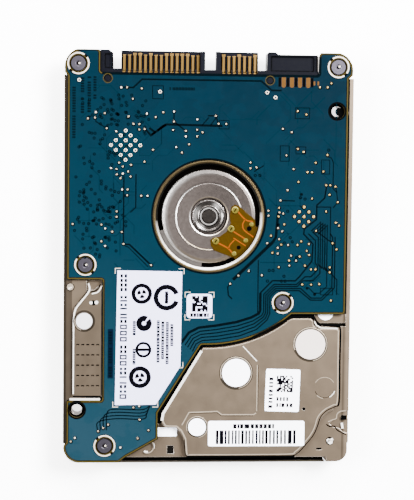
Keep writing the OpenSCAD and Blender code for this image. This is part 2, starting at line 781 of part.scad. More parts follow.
module magnet_posts() {
  color("silver") for (p = [[22, -36], [17.5, 8.2], [15, -94]])
    around_pivot(p[0], p[1]) slab(platter_z - 0.1, vcm_roof_z - 0.8) circle(0.85);
}

module crash_stops() {
  color("dimgray") for (p = [[12, 5.5], [13, -86]])
    around_pivot(p[0], p[1]) slab(platter_z - 0.1, vcm_roof_z - 0.8) circle(0.8);
}

module load_ramp() {
  color("ivory") difference() {
    union() {
      slab(arm_z[1] + arm_t + 0.15, arm_z[0] - 0.15) at(pivot) polygon(sector(34.1, 36.6, 151.5, 160.5, 4));
      slab(platter_z - 0.6, roof_z - 0.05) at(pivot) polygon(sector(36.4, 40, 152.5, 159.5, 4));
    }
    at(spindle, 0) cylinder(r = platter_d / 2 + 0.25, h = drive_h, $fn = 120);
    at(ramp_screw_at, 0) cylinder(r = 0.65, h = drive_h);
  }
}

module latch_lever() {
  color("black") difference() {
    slab(coil_z + 0.2, coil_z + coil_t - 0.2)
      polygon(concat(arc(latch_at, 1.5, -60, 90, 6), [[28.8, -19.2], [28.2, -21.4], [28.9, -24], [29, -33.1],
                                                     [28, -33.2], [28, -34.3], [30.2, -34.3]]));
    at(latch_at) cylinder(r = 0.65, h = drive_h);
  }
}

module latch_pin() { color("silver") at(latch_at) slab(gasket_z, vcm_roof_z - 0.3) circle(0.6); }

module air_filters() {
  color("whitesmoke") {
    at([-24.6, 35.1], base_z + 0.2) rotate(45) translate([-4.2, -0.8, 0]) cube([8.4, 1.6, roof_z - base_z - 0.3]);
    slab(base_z + 0.2, roof_z - 0.05) box(-30.8, -29.6, -26.6, -20);
  }
}

// ---------- what is drawn ----------
base_casting();
top_cover();
cover_gasket();
edge_seal_strip();
cover_screws();
cover_label();
circuit_board();
board_insulator();
board_screws();
board_label();
board_code_label();
serial_label();
deck_code_label();
spacer_label();
hole_seals();
port_seal();
connector_housing();
power_contacts();
data_contacts();
controller_chip();
motor_driver_chip();
cache_chip();
flash_chip();
board_capacitors();
board_inductors();
head_connector();
motor_bracket();
bearing_sleeve();
bearing_end_cap();
stator_core();
stator_coils();
motor_flex();
flex_solder_joints();
spindle_hub();
spindle_shaft();
rotor_magnet();
platter();
disk_clamp();
clamp_screws();
actuator_block();
pivot_shaft();
pivot_sleeve();
pivot_balls();
internal_screws();
voice_coil();
coil_frame();
base_side_suspension();
cover_side_suspension();
head_sliders();
preamp_chip();
flex_loop();
flex_bracket();
magnet_plates();
magnets();
magnet_posts();
crash_stops();
load_ramp();
latch_lever();
latch_pin();
air_filters();
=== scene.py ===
import json
import math
import random
import bmesh
import bpy
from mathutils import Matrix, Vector

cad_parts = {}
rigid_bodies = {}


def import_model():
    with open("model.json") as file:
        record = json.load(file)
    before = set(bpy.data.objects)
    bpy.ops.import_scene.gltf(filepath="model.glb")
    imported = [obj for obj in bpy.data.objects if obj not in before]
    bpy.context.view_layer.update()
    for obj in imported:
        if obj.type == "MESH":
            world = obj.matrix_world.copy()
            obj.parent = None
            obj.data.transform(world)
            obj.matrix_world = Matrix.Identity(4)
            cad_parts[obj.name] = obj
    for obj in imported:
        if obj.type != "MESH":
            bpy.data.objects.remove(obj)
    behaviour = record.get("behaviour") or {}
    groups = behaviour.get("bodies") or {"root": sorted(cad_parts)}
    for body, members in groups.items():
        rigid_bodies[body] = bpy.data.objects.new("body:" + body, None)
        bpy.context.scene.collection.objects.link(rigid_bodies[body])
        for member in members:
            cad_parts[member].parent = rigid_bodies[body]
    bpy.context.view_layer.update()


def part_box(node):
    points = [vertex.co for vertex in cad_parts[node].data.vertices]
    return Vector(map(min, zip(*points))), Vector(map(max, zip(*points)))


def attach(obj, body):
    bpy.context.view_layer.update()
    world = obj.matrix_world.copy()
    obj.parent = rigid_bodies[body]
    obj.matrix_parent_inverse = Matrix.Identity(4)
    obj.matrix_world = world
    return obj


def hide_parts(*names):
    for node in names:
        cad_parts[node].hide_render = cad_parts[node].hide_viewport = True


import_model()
MM = 0.001
OBJ = bpy.data.objects
random.seed(7)

# heights, in mm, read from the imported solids
BOARD_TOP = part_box("circuit_board")[1][2] / MM
DECK_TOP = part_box("serial_label")[0][2] / MM
LABEL_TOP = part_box("board_label")[1][2] / MM
DECK_LABEL_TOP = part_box("serial_label")[1][2] / MM
SPINDLE = [sum(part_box("platter")[k][i] for k in (0, 1)) / 2 / MM for i in (0, 1)]
PIVOT = [sum(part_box("pivot_shaft")[k][i] for k in (0, 1)) / 2 / MM for i in (0, 1)]

# places and pitches used more than once, in mm
SCREWS = ((-31.6, 46.8), (31, 46.8), (-29.7, -1.4), (18.2, -10.4), (-24.85, -45.4))
FACE_HOLES = ((30.855, 36.175), (-31.6, -36.6))
PORT_SEAL, REAR_SEAL, PAD_SEAL = (25.1, -20.5), (-2.4, -40.8), (-29.9, -15)
BOSS, DIMPLE = (28.75, -31.2), (-33.3, -6.8)
PLUG_PITCH = 1.27
HALF_WIDTH, PLUG_END = 34.92, 50.17

# ---------------------------------------------------------------- camera
cam_data = bpy.data.cameras.new("camera")
cam = OBJ.new("camera", cam_data)
bpy.context.collection.objects.link(cam)
bpy.context.scene.camera = cam
cam_data.lens = 100
cam_data.sensor_width = 36
cam.location = (-24.7 * MM, 22.0 * MM, 341.0 * MM)
cam.rotation_euler = [math.radians(a) for a in (-3.396, -4.118, 0.617)]
cam_data.clip_start = 0.01


# ---------------------------------------------------------------- node material helpers
def put(node, **values):
    """Sets a node's unlinked inputs; an underscore stands for the space in a name."""
    for name, value in values.items():
        node.inputs[name.replace("_", " ")].default_value = value


class Mat:
    """A principled material with procedural helpers. Coordinates are object space, in mm."""

    def __init__(self, name, color, rough=0.5, metal=0.0, **extra):
        self.m = bpy.data.materials.new(name)
        self.m.use_nodes = True
        self.t = self.m.node_tree
        self.b = self.t.nodes["Principled BSDF"]
        put(self.b, Base_Color=(*color, 1), Roughness=rough, Metallic=metal, **extra)
        tc = self.n("ShaderNodeTexCoord")
        sc = self.n("ShaderNodeVectorMath", operation="SCALE")
        put(sc, Scale=1 / MM)
        self.link(tc.outputs["Object"], sc.inputs[0])
        self.mm = sc.outputs[0]
        self.normal = None

    def n(self, kind, **props):
        node = self.t.nodes.new(kind)
        for k, v in props.items():
            setattr(node, k, v)
        return node

    def link(self, a, b):
        self.t.links.new(a, b)

    def noise(self, scale, detail=4, rough=0.55, stretch=(1, 1, 1)):
        mp = self.n("ShaderNodeMapping")
        put(mp, Scale=stretch)
        self.link(self.mm, mp.inputs["Vector"])
        t = self.n("ShaderNodeTexNoise")
        put(t, Scale=scale, Detail=detail, Roughness=rough)
        self.link(mp.outputs[0], t.inputs["Vector"])
        return t.outputs["Fac"]

    def voronoi(self, scale):
        t = self.n("ShaderNodeTexVoronoi")
        put(t, Scale=scale)
        self.link(self.mm, t.inputs["Vector"])
        return t.outputs["Distance"]

    def ramp(self, fac, stops):
        r = self.n("ShaderNodeValToRGB")
        while len(r.color_ramp.elements) < len(stops):
            r.color_ramp.elements.new(0.5)
        for e, (p, c) in zip(r.color_ramp.elements, stops):
            e.position = p
            e.color = (*c, 1) if isinstance(c, tuple) else (c, c, c, 1)
        self.link(fac, r.inputs[0])
        return r.outputs[0]

    def mix(self, fac, a, b):
        x = self.n("ShaderNodeMix", data_type="RGBA")
        for sock, v in ((x.inputs[0], fac), (x.inputs[6], a), (x.inputs[7], b)):
            if isinstance(v, bpy.types.NodeSocket):
                self.link(v, sock)
            elif isinstance(v, tuple):
                sock.default_value = (*v, 1)
            else:
                sock.default_value = v
        return x.outputs[2]

    def math(self, op, a, b=0.0, clamp=False):
        x = self.n("ShaderNodeMath", operation=op, use_clamp=clamp)
        for sock, v in ((x.inputs[0], a), (x.inputs[1], b)):
            if isinstance(v, bpy.types.NodeSocket):
                self.link(v, sock)
            else:
                sock.default_value = v
        return x.outputs[0]

    def mul(self, a, b, clamp=False):
        return self.math("MULTIPLY", a, b, clamp)

    def axis(self, which):
        s = self.n("ShaderNodeSeparateXYZ")
        self.link(self.mm, s.inputs[0])
        return s.outputs[which]

    def radius(self, c):
        x = self.math("SUBTRACT", self.axis("X"), c[0])
        y = self.math("SUBTRACT", self.axis("Y"), c[1])
        return self.math("SQRT", self.math("ADD", self.mul(x, x), self.mul(y, y)))

    def lobe(self, c, angle, power):
        """1 on the side of the centre that faces the angle, falling off round the circle."""
        a = math.radians(angle)
        x = self.mul(self.math("SUBTRACT", self.axis("X"), c[0]), math.cos(a))
        y = self.mul(self.math("SUBTRACT", self.axis("Y"), c[1]), math.sin(a))
        d = self.math("DIVIDE", self.math("ADD", x, y), self.radius(c), clamp=True)
        return self.math("POWER", d, power)

    def band(self, value, lo, hi, soft=0.08):
        """1 between two values, with soft ends."""
        out = []
        for edge, flip in ((lo, 0), (hi, 1)):
            mr = self.n("ShaderNodeMapRange", interpolation_type="SMOOTHSTEP")
            put(mr, From_Min=edge - soft, From_Max=edge + soft, To_Min=flip, To_Max=1 - flip)
            self.link(value, mr.inputs["Value"])
            out.append(mr.outputs[0])
        return self.mul(*out)

    def painted_well_shade(self, c, dark, lo=4.4, hi=5.35):
        """Painted shade on the floor of the wells between board, deck and motor, away from the outer walls."""
        k = self.band(self.axis("Z"), lo, hi, 0.04)
        k = self.mul(k, self.band(self.axis("X"), -34.1, 34.1, 0.05))
        k = self.mul(k, self.band(self.axis("Y"), -48.4, 49.0, 0.05))
        return self.mix(k, c, dark)

    def edge_mask(self, radius=0.12):
        """1 on sharp edges, from the difference between the rounded and the true normal."""
        bv = self.n("ShaderNodeBevel", samples=4)
        put(bv, Radius=radius * MM)
        g = self.n("ShaderNodeNewGeometry")
        d = self.n("ShaderNodeVectorMath", operation="DOT_PRODUCT")
        self.link(bv.outputs[0], d.inputs[0])
        self.link(g.outputs["Normal"], d.inputs[1])
        return self.mul(self.math("SUBTRACT", 1.0, d.outputs["Value"]), 3.0, clamp=True)

    def round(self, radius):
        bv = self.n("ShaderNodeBevel", samples=6)
        put(bv, Radius=radius * MM)
        self.normal = bv.outputs[0]
        self.link(self.normal, self.b.inputs["Normal"])
        return self

    def bump(self, height, strength=0.3, dist=0.05):
        bp = self.n("ShaderNodeBump")
        put(bp, Strength=strength, Distance=dist * MM)
        self.link(height, bp.inputs["Height"])
        if self.normal is not None:
            self.link(self.normal, bp.inputs["Normal"])
        self.normal = bp.outputs[0]
        self.link(self.normal, self.b.inputs["Normal"])
        return self

    def base(self, sock):
        self.link(sock, self.b.inputs["Base Color"])
        return self

    def rough(self, sock, lo, hi):
        mr = self.n("ShaderNodeMapRange")
        put(mr, To_Min=lo, To_Max=hi)
        self.link(sock, mr.inputs["Value"])
        self.link(mr.outputs[0], self.b.inputs["Roughness"])
        return self


def shade(c, k):
    """A colour made lighter or darker."""
    return tuple(min(1.0, v * k) for v in c)


def plain(name, color, rough, metal=0.0, grain=6.0, amount=0.12, wear=0.15, bump=0.15, **extra):
    """Fine mottling, uneven roughness, rounded edges and a lighter worn edge."""
    edge = 0.08
    m = Mat(name, color, rough, metal, **extra)
    n1 = m.noise(grain)
    n2 = m.noise(grain * 0.12, 3)
    c = m.mix(n1, shade(color, 1 - amount), shade(color, 1 + amount))
    c = m.mix(m.mul(n2, 0.6), c, shade(color, 1 - amount * 1.5))
    c = m.mix(m.mul(m.edge_mask(edge * 1.5), wear), c, shade(color, 1.9))
    m.base(c).rough(n2, rough * 0.85, min(1, rough * 1.2)).round(edge).bump(n1, bump, 0.02)
    return m.m


def cast_metal():
    col = (0.105, 0.079, 0.055)
    m = Mat("cast_metal", col, 0.42, 0.9)
    fine = m.noise(9, 5, 0.65)
    broad = m.noise(0.09, 3)
    spots = m.math("LESS_THAN", m.voronoi(2.2), 0.055)
    c = m.mix(broad, shade(col, 0.86), shade(col, 1.16))
    c = m.mix(m.mul(fine, 0.35), c, shade(col, 0.72))
    c = m.mix(m.mul(spots, 0.35), c, shade(col, 0.45))
    x, z = m.axis("X"), m.axis("Z")
    plain_pad = m.mul(m.band(x, -32.0, -26.0, 0.05), m.band(m.axis("Y"), -31.4, -19.8, 0.05))
    # painted highlight along the casting's rounded edges, kept off the plain pad in the side window
    painted_edge_highlight = m.mul(m.edge_mask(0.2), m.math("SUBTRACT", 1.0, plain_pad))
    c = m.mix(m.mul(painted_edge_highlight, 0.7), c, (0.62, 0.57, 0.50))
    low = m.band(z, 5.4, 6.3, 0.05)
    # painted shade: the left rail and its outer face darker, on the side away from the light
    c = m.mix(m.mul(m.mul(m.band(x, -36, -32.85, 0.05), low), 0.62), c, (0.012, 0.009, 0.006))
    c = m.mix(m.mul(m.mul(m.band(x, -36, -34.25, 0.1), low), 0.8), c, (0.010, 0.007, 0.004))
    c = m.mix(m.mul(m.band(z, 6.42, 6.56, 0.03), 0.4), c, shade(col, 0.35))
    # painted shade along the step down to the right rail, then painted light on the right rail itself
    c = m.mix(m.mul(m.band(x, 33.2, 33.7, 0.05), 0.6), c, shade(col, 0.3))
    c = m.mix(m.mul(m.band(x, 34.0, 36, 0.1), 0.5), c, shade(col, 1.5))
    c = m.painted_well_shade(c, (0.002, 0.0016, 0.001))
    r = m.radius(SPINDLE)
    collar = m.band(r, 12.2, 13.95, 0.05)
    c = m.mix(m.mul(collar, m.band(m.axis("Z"), 5.4, 6.5, 0.05)), c, (0.052, 0.037, 0.016))
    # painted highlight on the lower side of the motor collar, and painted black shade in the gap inside it
    lit = m.mul(m.band(r, 12.5, 12.98, 0.08), m.mul(m.lobe(SPINDLE, 275, 0.6), m.band(m.axis("Z"), 5.4, 6.5, 0.05)))
    c = m.mix(m.mul(m.band(r, 12.2, 12.85, 0.06), m.band(z, 5.4, 6.5, 0.05)), c, (0.002, 0.0016, 0.001))
    c = m.mix(lit, c, (0.95, 0.90, 0.84))
    m.base(c).rough(m.noise(0.35, 4), 0.36, 0.5).round(0.1).bump(fine, 0.22, 0.012)
    return m.m


def motor_material():
    """Deep-drawn plate: fine turning, painted highlights on the ridges that change round the circle, painted shade to
    the upper right and painted black shade in the gap.
    """
    col = (0.112, 0.094, 0.086)
    m = Mat("motor_plate", col, 0.3, 1.0)
    r = m.radius(SPINDLE)
    wave = m.math("SINE", m.mul(r, 56))
    c = m.mix(m.math("MULTIPLY_ADD", wave, 0.5), shade(col, 0.93), shade(col, 1.06))
    c = m.mix(m.mul(m.noise(0.6, 4), 0.5), c, shade(col, 0.8))
    c = m.mix(m.mul(m.noise(14, 4), 0.35), c, shade(col, 0.6))
    # painted shade to the upper right of the plate and painted light to the lower left
    c = m.mix(m.mul(m.lobe(SPINDLE, 50, 1.2), 0.75), c, shade(col, 0.42))
    c = m.mix(m.mul(m.lobe(SPINDLE, 205, 1.5), 0.5), c, shade(col, 1.15))
    c = m.mix(m.mul(m.band(m.noise(22, 3, 0.7), 0.56, 1.0, 0.03), 0.35), c, shade(col, 1.9))
    # painted highlights (white) and painted reflections (tan) on the ridges, each strongest at one angle round the
    # circle
    white, tan = (0.97, 0.95, 0.92), (0.36, 0.29, 0.20)
    for r0, r1, angle, power, k, tone, soft in (
            (10.75, 11.5, 172, 4, 1.0, white, 0.16), (11.05, 11.5, 36, 14, 1.0, white, 0.1),
            (10.4, 11.5, 268, 2.5, 0.55, tan, 0.25),
            (11.0, 11.5, 232, 9, 0.6, white, 0.1), (10.2, 11.3, 150, 2, 0.25, white, 0.5),
            (7.85, 8.15, 172, 4, 1.0, white, 0.08), (7.88, 8.12, 38, 14, 1.0, white, 0.07),
            (7.85, 8.15, 248, 3, 0.7, tan, 0.08),
            (4.5, 4.8, 315, 0.5, 0.5, tan, 0.08), (4.5, 4.8, 225, 2, 0.8, white, 0.08),
            (4.5, 4.8, 90, 1, 0.35, tan, 0.08)):
        k = m.mul(m.mul(m.band(r, r0, r1, soft), m.lobe(SPINDLE, angle, power)), k)
        c = m.mix(k, c, tone)
    # painted shade in the groove by the step and in the gap round the centre boss
    c = m.mix(m.mul(m.band(r, 8.25, 8.45, 0.06), 0.4), c, shade(col, 0.3))
    c = m.mix(m.band(r, 4.22, 4.46, 0.05), c, (0.006, 0.005, 0.005))
    c = m.mix(m.mul(m.band(r, 11.42, 12.6, 0.04), m.band(m.axis("Z"), 5.3, 6.0, 0.04)), c, (0.15, 0.135, 0.125))
    # painted black shade in the gap below the plate
    c = m.mix(m.band(m.axis("Z"), 4.0, 5.2, 0.04), c, (0.0015, 0.0012, 0.001))
    m.base(c).rough(m.noise(1.4, 5), 0.26, 0.4).round(0.06).bump(wave, 0.05, 0.004)
    return m.m


def sleeve_material():
    """Bearing sleeve and cap: stepped rings, with painted highlights on some and painted shade in the grooves between
    them.
    """
    col = (0.055, 0.049, 0.045)
    m = Mat("motor_sleeve", col, 0.22, 1.0)
    r = m.radius(SPINDLE)
    c = m.mix(m.noise(0.8, 4), shade(col, 0.7), shade(col, 1.3))
    white = (0.95, 0.93, 0.90)
    # painted highlights on two thin rings
    for r0, r1, k, soft in ((3.9, 4.22, 0.85, 0.05), (1.86, 2.14, 0.9, 0.05)):
        c = m.mix(m.mul(m.band(r, r0, r1, soft), k), c, white)
    # painted highlights on the middle band at given angles
    for angle, power, k in ((165, 12, 0.45), (232, 30, 0.8), (52, 26, 0.8), (10, 30, 0.35)):
        c = m.mix(m.mul(m.mul(m.band(r, 2.6, 3.6, 0.25), m.lobe(SPINDLE, angle, power)), k), c, white)
    # painted shade in the grooves between the rings
    for r0, r1 in ((2.2, 2.5), (3.62, 3.84), (1.55, 1.72)):
        c = m.mix(m.mul(m.band(r, r0, r1, 0.06), 0.9), c, (0.006, 0.005, 0.005))
    m.base(c).rough(m.noise(1.4, 5), 0.2, 0.32).round(0.06)
    return m.m


def brushed(name, col, rough):
    """Metal with fine streaks along X."""
    m = Mat(name, col, rough, 1.0)
    g = m.noise(2.5, 6, 0.7, (0.15, 6, 1))
    c = m.mix(g, shade(col, 0.85), shade(col, 1.12))
    c = m.mix(m.mul(m.edge_mask(0.12), 0.4), c, shade(col, 1.5))
    m.base(c).rough(g, rough * 0.8, rough * 1.3).round(0.07).bump(g, 0.12, 0.01)
    return m.m


def turned(name, col, rough, centre, pitch):
    """Fine concentric turning marks about a centre."""
    m = Mat(name, col, rough, 1.0)
    r = m.radius(centre)
    wave = m.math("SINE", m.mul(r, pitch * 6.283))
    wob = m.noise(0.6, 4)
    c = m.mix(m.math("MULTIPLY_ADD", wave, 0.5), shade(col, 0.93), shade(col, 1.06))
    c = m.mix(m.mul(wob, 0.5), c, shade(col, 0.85))
    m.base(c).rough(m.noise(1.4, 5), rough * 0.8, rough * 1.25).round(0.06).bump(wave, 0.05, 0.004)
    return m.m


def board_material():
    """Solder mask: blue over laminate, darker to the upper right, tan on the cut edges."""
    col = (0.0001, 0.0050, 0.0095)
    m = Mat("solder_mask", col, 0.3, 0.0, Specular_IOR_Level=0.03)
    d = m.math("MULTIPLY_ADD", m.math("ADD", m.mul(m.axis("X"), 0.35), m.axis("Y")), 0.0092)
    d.node.inputs[2].default_value = 0.5
    c = m.ramp(d, [(0.0, (0.0040, 0.0125, 0.0185)), (0.45, (0.0009, 0.0066, 0.0112)), (1.0, (0.0001, 0.0030, 0.0060))])
    pour = m.math("GREATER_THAN", m.noise(0.16, 2), 0.52)
    c = m.mix(m.mul(pour, 0.16), c, (0.0004, 0.0072, 0.0125))
    weave = m.mul(m.math("SINE", m.mul(m.axis("X"), 14.0)),
                   m.math("SINE", m.mul(m.axis("Y"), 14.0)))
    c = m.mix(m.mul(m.noise(5, 4), 0.18), c, (0.0001, 0.003, 0.0056))
    side = m.math("LESS_THAN", m.axis("Z"), BOARD_TOP - 0.03)
    c = m.mix(side, c, (0.020, 0.015, 0.004))
    m.base(c).rough(m.noise(0.5, 3), 0.28, 0.42).bump(weave, 0.05, 0.01).bump(m.noise(7, 3), 0.06, 0.01)
    return m.m


def label_material(name, col):
    m = Mat(name, col, 0.4)
    n1 = m.noise(0.35, 3)
    n2 = m.noise(12, 4)
    c = m.mix(n1, shade(col, 0.96), col)
    c = m.mix(m.band(m.axis("X"), -35, -26.5, 0.1), c, shade(col, 0.42))
    c = m.mix(m.mul(m.edge_mask(0.12), 0.3), c, shade(col, 0.6))
    m.base(c).rough(n1, 0.34, 0.5).round(0.04).bump(n2, 0.06, 0.01)
    return m.m


DULL = {"Specular_IOR_Level": 0.04}
M = {
    "cast": cast_metal(),
    "sheet": brushed("sheet_steel", (0.165, 0.142, 0.112), 0.3),
    "screw": plain("plated_screw", (0.085, 0.078, 0.098), 0.34, 1.0, 10, 0.25, 0.6, 0.2),
    "bright": plain("bright_steel", (0.42, 0.40, 0.38), 0.25, 1.0, 8, 0.08, 0.3, 0.05),
    "motor": motor_material(),
    "sleeve": sleeve_material(),
    "disk": turned("disk_mirror", (0.75, 0.74, 0.72), 0.06, SPINDLE, 3),
    "rubber": plain("black_rubber", (0.002, 0.002, 0.0022), 0.7, **DULL),
    "label": label_material("white_film", (0.83, 0.84, 0.90)),
    "label_board": label_material("board_film", (0.40, 0.40, 0.58)),
    "cream": label_material("cream_film", (0.40, 0.35, 0.32)),
    "board": board_material(),
    "film": plain("dark_film", (0.003, 0.0027, 0.002), 0.6, **DULL),
    "plastic": plain("connector_plastic", (0.0008, 0.0009, 0.0021), 0.42, 0, 8, 0.3, 0.4, 0.25, **DULL),
    "gold": plain("gold_plate", (0.21, 0.122, 0.032), 0.3, 0.9, 9, 0.2, 0.3, 0.1),
    "chip": plain("chip_epoxy", (0.004, 0.004, 0.004), 0.55, **DULL),
    "ceramic": plain("ceramic_body", (0.30, 0.21, 0.13), 0.5),
    "lam": plain("lamination", (0.22, 0.22, 0.23), 0.4, 1.0),
    "copper": plain("copper_wire", (0.55, 0.22, 0.09), 0.3, 1.0),
    "amber": plain("amber_film", (0.0175, 0.0090, 0.0001), 0.25, 0, 3, 0.35, 0.3, 0.1, Specular_IOR_Level=0.08),
    "solder": plain("solder", (0.085, 0.068, 0.005), 0.3, 0.6, 6, 0.1, 0.4, 0.2),
    "ivory": plain("ivory_plastic", (0.6, 0.56, 0.47), 0.4),
    "cloth": plain("filter_cloth", (0.75, 0.75, 0.73), 0.95, 0, 20, 0.1, 0, 0.6),
}
NODE_MAT = {
    "cast": "base_casting actuator_block",
    "sheet": "top_cover disk_clamp base_side_suspension cover_side_suspension",
    "screw": "cover_screws board_screws clamp_screws internal_screws",
    "bright": "spindle_shaft pivot_shaft pivot_sleeve pivot_balls latch_pin magnet_posts magnet_plates magnets "
              "rotor_magnet",
    "motor": "motor_bracket spindle_hub",
    "sleeve": "bearing_sleeve bearing_end_cap",
    "disk": "platter",
    "rubber": "cover_gasket edge_seal_strip crash_stops",
    "label": "cover_label serial_label deck_code_label spacer_label hole_seals",
    "label_board": "board_label board_code_label",
    "cream": "port_seal",
    "board": "circuit_board",
    "film": "board_insulator",
    "plastic": "connector_housing head_connector coil_frame latch_lever flex_bracket",
    "gold": "power_contacts data_contacts",
    "chip": "controller_chip motor_driver_chip cache_chip flash_chip preamp_chip board_inductors",
    "ceramic": "board_capacitors head_sliders",
    "lam": "stator_core",
    "copper": "stator_coils voice_coil",
    "amber": "motor_flex flex_loop",
    "solder": "flex_solder_joints",
    "ivory": "load_ramp",
    "cloth": "air_filters",
}
for key, names in NODE_MAT.items():
    for name in names.split():
        o = OBJ[name]
        o.data.materials.clear()
        o.data.materials.append(M[key])


# ---------------------------------------------------------------- mesh helpers
def add(name, bm, mat, body="enclosure"):
    """Makes a flat-shaded piece of a finished bmesh, riding with a body."""
    me = bpy.data.meshes.new(name)
    bm.to_mesh(me)
    bm.free()
    for p in me.polygons:
        p.use_smooth = False
    me.materials.append(M[mat] if isinstance(mat, str) else mat)
    o = OBJ.new(name, me)
    bpy.context.collection.objects.link(o)
    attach(o, body)
    return o


def rounded_copy(node, name, rims, keep_clear=()):
    """A copy of a CAD node's mesh with the convex rims at the given heights really rounded. rims: {z_mm: radius_mm}"""
    bm = bmesh.new()
    bm.from_mesh(OBJ[node].data)
    bmesh.ops.remove_doubles(bm, verts=bm.verts, dist=1e-6)
    bmesh.ops.dissolve_limit(bm, angle_limit=math.radians(0.6), verts=bm.verts, edges=bm.edges)
    for z, r in rims.items():
        picked = []
        for e in bm.edges:
            a, b = e.verts
            if abs(a.co.z - z * MM) > 2e-5 or abs(b.co.z - z * MM) > 2e-5 or len(e.link_faces) != 2:
                continue
            if e.calc_face_angle_signed(0) < 1.0:
                continue
            if any(math.hypot(v.co.x / MM - c[0], v.co.y / MM - c[1]) < c[2] for v in (a, b) for c in keep_clear):
                continue
            picked.append(e)
        bmesh.ops.bevel(bm, geom=picked, offset=r * MM, offset_type="OFFSET", segments=4, profile=0.5,
                        affect="EDGES", clamp_overlap=True)
    o = add(name, bm, list(OBJ[node].data.materials)[0])
    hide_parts(node)
    return o


HOLES = [(*PIVOT, 3.2), (*PORT_SEAL, 3), (*REAR_SEAL, 1.8), (23.7, -36.4, 0.8), (*PAD_SEAL, 1.6)]
base = rounded_copy("base_casting", "base_casting_finished", {6.9: 0.55, 6.5: 0.25, 6.0: 0.18}, HOLES)


# ---------------------------------------------------------------- flat artwork helpers (all in mm)
def disc(bm, c, r0, r1, z, n=20, a0=0.0, a1=360.0):
    """A flat ring, or a disc when r0 is 0, with a short outer wall."""
    drop = 0.03
    closed = a1 - a0 >= 359.9
    cnt = n if closed else n + 1
    ang = [math.radians(a0 + (a1 - a0) * i / n) for i in range(cnt)]

    def circle(r):
        return [bm.verts.new(((c[0] + r * math.cos(a)) * MM, (c[1] + r * math.sin(a)) * MM, z * MM)) for a in ang]

    out = circle(r1)
    low = [bm.verts.new((v.co.x, v.co.y, v.co.z - drop * MM)) for v in out]
    inn = circle(r0) if r0 else None
    for i in range(n):
        j = (i + 1) % cnt
        if r0:
            bm.faces.new((out[i], out[j], inn[j], inn[i]))
        bm.faces.new((low[i], low[j], out[j], out[i]))
    if not r0:
        bm.faces.new(out)


def strip(bm, pts, width, z, closed=False):
    """A flat mitred ribbon along a polyline."""
    p = [Vector(q) for q in pts]
    n = len(p)
    rows = []
    for i in range(n):
        a = p[i - 1] if (i or closed) else p[i]
        b = p[(i + 1) % n] if (i < n - 1 or closed) else p[i]
        d0 = (p[i] - a).normalized() if (p[i] - a).length else (b - p[i]).normalized()
        d1 = (b - p[i]).normalized() if (b - p[i]).length else d0
        t = (d0 + d1).normalized() if (d0 + d1).length else d0
        k = max(0.5, abs(t.dot(d1)))
        nrm = Vector((-t.y, t.x)) * (width / 2 / k)
        rows.append([bm.verts.new(((p[i] + s * nrm).x * MM, (p[i] + s * nrm).y * MM, z * MM)) for s in (1, -1)])
    for i in range(n if closed else n - 1):
        a, b = rows[i], rows[(i + 1) % n]
        bm.faces.new((a[1], b[1], b[0], a[0]))


def patch(bm, pts, z):
    """A flat polygon."""
    bm.faces.new([bm.verts.new((x * MM, y * MM, z * MM)) for x, y in pts])


def rect(x0, y0, x1, y1, turn=0.0, c=None):
    pts = [(x0, y0), (x1, y0), (x1, y1), (x0, y1)]
    if not turn:
        return pts
    c = c or ((x0 + x1) / 2, (y0 + y1) / 2)
    k, s = math.cos(math.radians(turn)), math.sin(math.radians(turn))
    return [(c[0] + (x - c[0]) * k - (y - c[1]) * s, c[1] + (x - c[0]) * s + (y - c[1]) * k) for x, y in pts]


def sweep(c, r, a0, a1, n=14):
    """Points along an arc, from one angle in degrees to another."""
    return [(c[0] + r * math.cos(math.radians(a0 + (a1 - a0) * i / n)),
             c[1] + r * math.sin(math.radians(a0 + (a1 - a0) * i / n))) for i in range(n + 1)]


def smooth_line(pts, n=6):
    """A curve through the points."""
    p = [Vector(q) for q in pts]
    p = [p[0] * 2 - p[1]] + p + [p[-1] * 2 - p[-2]]
    out = []
    for a, b, c, d in zip(p, p[1:], p[2:], p[3:]):
        for k in range(n):
            t = k / n
            out.append(0.5 * ((2 * b) + (c - a) * t + (2 * a - 5 * b + 4 * c - d) * t * t
                              + (3 * b - a - 3 * c + d) * t ** 3))
    out.append(p[-2])
    return [(v.x, v.y) for v in out]


MATT = {"Specular_IOR_Level": 0.0}
M["trace"] = plain("covered_trace", (0.0004, 0.0012, 0.0017), 0.5, 0, 5, 0.15, 0, **MATT)
M["trace_faint"] = plain("faint_trace", (0.0005, 0.0048, 0.0080), 0.5, 0, 5, 0.15, 0, **MATT)
M["trace_mid"] = plain("tented_ring", (0.0004, 0.0020, 0.0032), 0.5, 0, 5, 0.15, 0, **MATT)
M["via"] = plain("plated_via", (0.40, 0.31, 0.21), 0.3, 0.75, 10, 0.2, 0)
M["via_gold"] = plain("gilded_via", (0.40, 0.26, 0.09), 0.3, 0.75, 10, 0.2, 0)
M["print"] = plain("printed_panel", (0.0006, 0.0022, 0.0058), 0.5, 0, 5, 0.15, 0, **MATT)
M["via_pale"] = plain("tinned_via", (0.50, 0.45, 0.38), 0.35, 0.5, 10, 0.15, 0)
M["pad"] = plain("copper_pad", (0.075, 0.031, 0.003), 0.3, 0.7, 8, 0.15, 0)
M["hole"] = plain("dark_hole", (0.0006, 0.0006, 0.0006), 0.8, **MATT)
M["ink"] = plain("label_ink", (0.0007, 0.0007, 0.0011), 0.5, 0, 5, 0.1, 0, **MATT)
M["contact_shade"] = plain("contact_shade", (0.0016, 0.0012, 0.0010), 0.5, **MATT)
M["laminate"] = plain("bare_laminate", (0.021, 0.0142, 0.0014), 0.5, 0, 5, 0.2, 0, **DULL)

# artwork heights on the board: traces, faint marks and what stands over both
ZT, ZF, ZH = BOARD_TOP + 0.012, BOARD_TOP + 0.008, BOARD_TOP + 0.026

